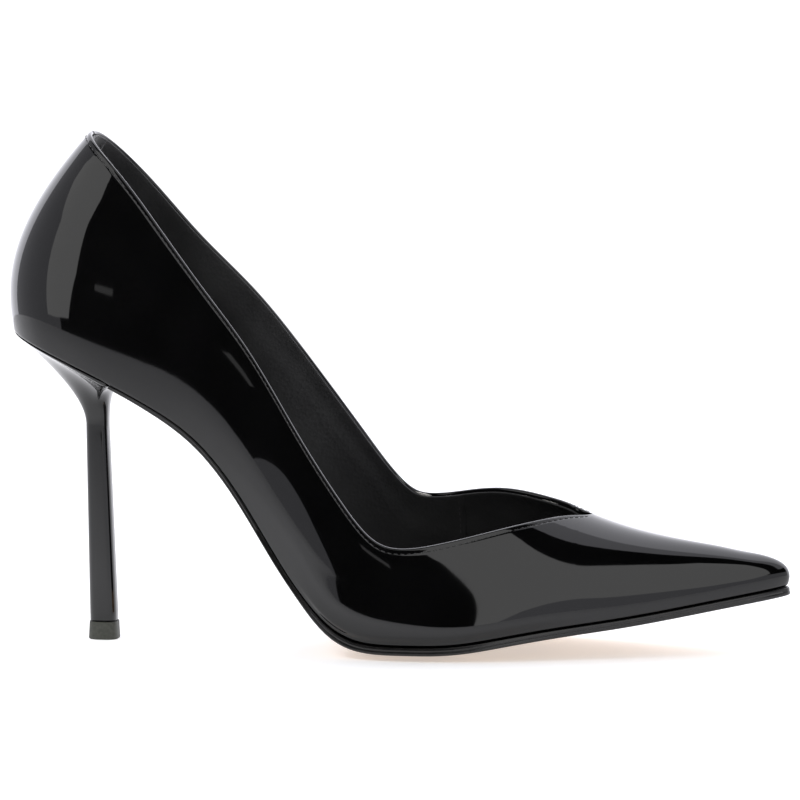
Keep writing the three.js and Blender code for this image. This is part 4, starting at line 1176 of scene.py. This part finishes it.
def make_heel():
    """The cover from inside its rim, over the rim, down the cup and the stem, and in under the foot."""
    cup, behind = seat_ring(0.0, BREAST_LIP)
    rim, _ = seat_ring(0.0, 0.0)
    inner_rim, _ = seat_ring(RIM_INSET, 0.0)
    neck = stem_ring(NECK_HEIGHT)
    reach = cup + (neck - cup) * mix(*REACH_PLAN, behind)
    reach[:, 2] = (cup[:, 2:] + (neck - cup)[:, 2:] * mix(*REACH_DROP, behind))[:, 0]
    shoulder = neck + np.array([0, 0, SHOULDER])
    rows = [inner_rim, rim, rim + (cup - rim) / 3, rim + (cup - rim) * 2 / 3]
    for t in np.linspace(0, 1, CUP_ROWS + 1) ** CUP_EASE:
        w = 1 - t
        rows.append(cup * w ** 3 + reach * 3 * w * w * t + shoulder * 3 * w * t * t + neck * t ** 3)
    for height in np.linspace(NECK_HEIGHT, HEEL_FOOT + FOOT_ROUND, STEM_ROWS + 1)[1:]:
        rows.append(stem_ring(height))
    rows += [stem_ring(HEEL_FOOT + height, inset) for height, inset in FOOT_RINGS]
    rings = soften(np.array(rows))
    builder = Builder()
    builder.grid(closed_ring(rings))
    piece = builder.finish("heel_cover_skin", [patent], weld=HEEL_WELD, sharp=HEEL_SHARP)
    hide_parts("heel_cover")


def make_top_piece():
    rows = []
    for height, inset in TOP_PIECE_RINGS:
        grow = TOP_PIECE_FLARE * (1 - height / TOP_PIECE_HEIGHT) - inset
        width = TOP_PIECE_WIDTH + 2 * grow
        rows.append(oval(0.0, width, width, height))
    rings = np.array(rows)
    builder = Builder()
    builder.grid(closed_ring(rings))
    for end in (0, -1):
        centre = np.broadcast_to(rings[end].mean(0), rings[end].shape)
        builder.grid(closed_ring(np.stack([rings[end], centre], 0)))
    piece = builder.finish("top_piece_rubber", [lift_rubber], weld=HEEL_WELD, sharp=TOP_PIECE_SHARP)
    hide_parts("top_piece")


make_heel()
make_top_piece()


# -------------------- stage and lights

FLOOR_CENTRE = (0.03, 0.0)
FLOOR_RADIUS = 0.72
FLOOR_SIDES = 128
FLOOR_TONE = (0.8, 0.8, 0.8)
FLOOR_ROUGHNESS = 0.9
# How strongly the floor glows, by the share of the way from the shoe to the floor's near edge.
FLOOR_GLOW = ((0.0, 0.4), (0.12, 0.27), (0.3, 0.2), (1.0, 0.15))
CARD_STEP = 3.0
CARD_ROWS = 16
WHITE = (1.0, 1.0, 1.0)
COOL = (0.97, 0.97, 1.04)
KEY_PLACE = (-0.12, -0.2, 0.3)
KEY_SIZE = 0.16
KEY_POWER = 0.6
SHOE_CENTRE = (0.05, 0.0, 0.06)
HEEL_CENTRE = (0.0, -0.026, 0.12)
QUARTER_PLACE = (0.046, -0.021, 0.095)
DARK_WORLD = (0.006, 0.006, 0.0065)
BRIGHT_WORLD = (1.2, 1.2, 1.2)

# A card glows evenly and stands round a centre, at a distance in metres. Its columns give the compass
# angle, 0 towards -Y and 90 towards the toe, then the elevation of its lower and upper edge there.
CARDS = {
    "left_softbox": (1.6, WHITE, HEEL_CENTRE, 0.25, [
        (-80, 39, 43), (-62, 28, 50), (-56, -8, 60), (-44, -8, 60), (-27, -7, 60), (-19, 9, 60),
        (-18, 24, 60), (-13, 30, 60)]),
    "right_softbox": (1.5, WHITE, SHOE_CENTRE, 3.0, [
        (0, 43, 52), (10, 30, 58), (16, 27, 62), (16.5, -10, 62), (22, -6, 62), (30, 6, 62), (40, 12.5, 62),
        (47, 19, 60)]),
    "strip_light": (0.6, WHITE, QUARTER_PLACE, 0.4, [(-9, 7.2, 8.6), (-5, 6.6, 8.2), (1, 5.6, 7.2)]),
    "left_wall": (0.68, COOL, SHOE_CENTRE, 3.2, [
        (-118, -14, 46), (-47, -14, 46), (-43, -14, 46), (-37, -14, 46), (-36.5, 4, 5)]),
    "right_wall": (0.85, COOL, SHOE_CENTRE, 3.2, [(17, -14, 15), (112, -14, 15)]),
    "overhead": (1.2, COOL, SHOE_CENTRE, 3.0, [(70, 35, 44), (76, 35, 66), (82, 35, 86), (112, 35, 88)]),
    "backdrop": (2.3, COOL, SHOE_CENTRE, 3.0, [(112, -14, 88), (242, -14, 88)]),
}


def on_stage(centre, azimuth, elevation, distance):
    a = math.radians(azimuth)
    e = math.radians(elevation)
    away = Vector((math.sin(a) * math.cos(e), -math.cos(a) * math.cos(e), math.sin(e)))
    return Vector(centre) + away * distance


def emission_material(name, colour, radiance):
    material = bpy.data.materials.new(name)
    material.use_nodes = True
    tree = material.node_tree
    tree.nodes.clear()
    glow = tree.nodes.new("ShaderNodeEmission")
    glow.inputs["Color"].default_value = (*colour, 1)
    glow.inputs["Strength"].default_value = radiance
    output = tree.nodes.new("ShaderNodeOutputMaterial")
    tree.links.new(glow.outputs["Emission"], output.inputs["Surface"])
    return material


def make_card(name, radiance, colour, centre, distance, columns):
    """A curved glowing card round the shoe, seen in the gloss but not by the camera."""
    start, end = columns[0][0], columns[-1][0]
    angles = set(np.linspace(start, end, int((end - start) / CARD_STEP) + 2)) | {c[0] for c in columns}
    angles = sorted(angles)
    low = np.interp(angles, [c[0] for c in columns], [c[1] for c in columns])
    high = np.interp(angles, [c[0] for c in columns], [c[2] for c in columns])
    points = []
    for angle, bottom, top in zip(angles, low, high):
        for k in range(CARD_ROWS + 1):
            points.append(on_stage(centre, angle, mix(bottom, top, k / CARD_ROWS), distance))
    mesh = bpy.data.meshes.new(name)
    mesh.from_pydata(points, [], grid_faces(len(angles), CARD_ROWS + 1))
    mesh.materials.append(emission_material(name, colour, radiance))
    card = add_object(name, mesh)
    card.visible_camera = False
    card.visible_shadow = False


def make_floor():
    """A pale round floor whose glow falls off towards -Y."""
    mesh = bpy.data.meshes.new("floor")
    turns = [2 * math.pi * k / FLOOR_SIDES for k in range(FLOOR_SIDES)]
    centre_x, centre_y = FLOOR_CENTRE
    rim = [(centre_x + FLOOR_RADIUS * math.cos(a), centre_y + FLOOR_RADIUS * math.sin(a), 0.0) for a in turns]
    mesh.from_pydata(rim, [], [tuple(range(FLOOR_SIDES))])
    floor = add_object("floor", mesh)
    material = new_material("floor_white", FLOOR_TONE, FLOOR_ROUGHNESS)
    shader = shader_of(material)
    shader.inputs["Emission Color"].default_value = (*WHITE, 1)
    split = add_node(material, "ShaderNodeSeparateXYZ")
    link(material, place_output(material), split.inputs["Vector"])
    span = add_node(material, "ShaderNodeMapRange", From_Min=0.0, From_Max=-FLOOR_RADIUS)
    link(material, split.outputs["Y"], span.inputs["Value"])
    curve = add_node(material, "ShaderNodeValToRGB")
    for k, (place, glow) in enumerate(FLOOR_GLOW):
        stop = curve.color_ramp.elements[k] if k < 2 else curve.color_ramp.elements.new(place)
        stop.position = place
        stop.color = (glow, glow, glow, 1)
    link(material, span.outputs["Result"], curve.inputs["Fac"])
    link(material, curve.outputs["Color"], shader.inputs["Emission Strength"])
    mesh.materials.append(material)


def make_key_light():
    """A soft light over the heel that lights the floor and the lining, left out of the gloss."""
    light = bpy.data.lights.new("key", "AREA")
    light.shape = "DISK"
    light.size = KEY_SIZE
    light.energy = KEY_POWER
    lamp = add_object("key", light)
    lamp.location = KEY_PLACE
    lamp.visible_camera = False
    lamp.visible_glossy = False


def make_world():
    """White behind the shoe for the camera, and nearly dark for the reflections."""
    world = bpy.data.worlds.new("studio")
    world.use_nodes = True
    tree = world.node_tree
    tree.nodes.clear()
    output = tree.nodes.new("ShaderNodeOutputWorld")
    blend = tree.nodes.new("ShaderNodeMixShader")
    path = tree.nodes.new("ShaderNodeLightPath")
    dim = tree.nodes.new("ShaderNodeBackground")
    bright = tree.nodes.new("ShaderNodeBackground")
    dim.inputs["Color"].default_value = (*DARK_WORLD, 1)
    bright.inputs["Color"].default_value = (*BRIGHT_WORLD, 1)
    tree.links.new(path.outputs["Is Camera Ray"], blend.inputs["Fac"])
    tree.links.new(dim.outputs["Background"], blend.inputs[1])
    tree.links.new(bright.outputs["Background"], blend.inputs[2])
    tree.links.new(blend.outputs["Shader"], output.inputs["Surface"])
    bpy.context.scene.world = world


make_floor()
make_world()
for name, settings in CARDS.items():
    make_card(name, *settings)
make_key_light()

bpy.context.scene.view_settings.view_transform = "Standard"
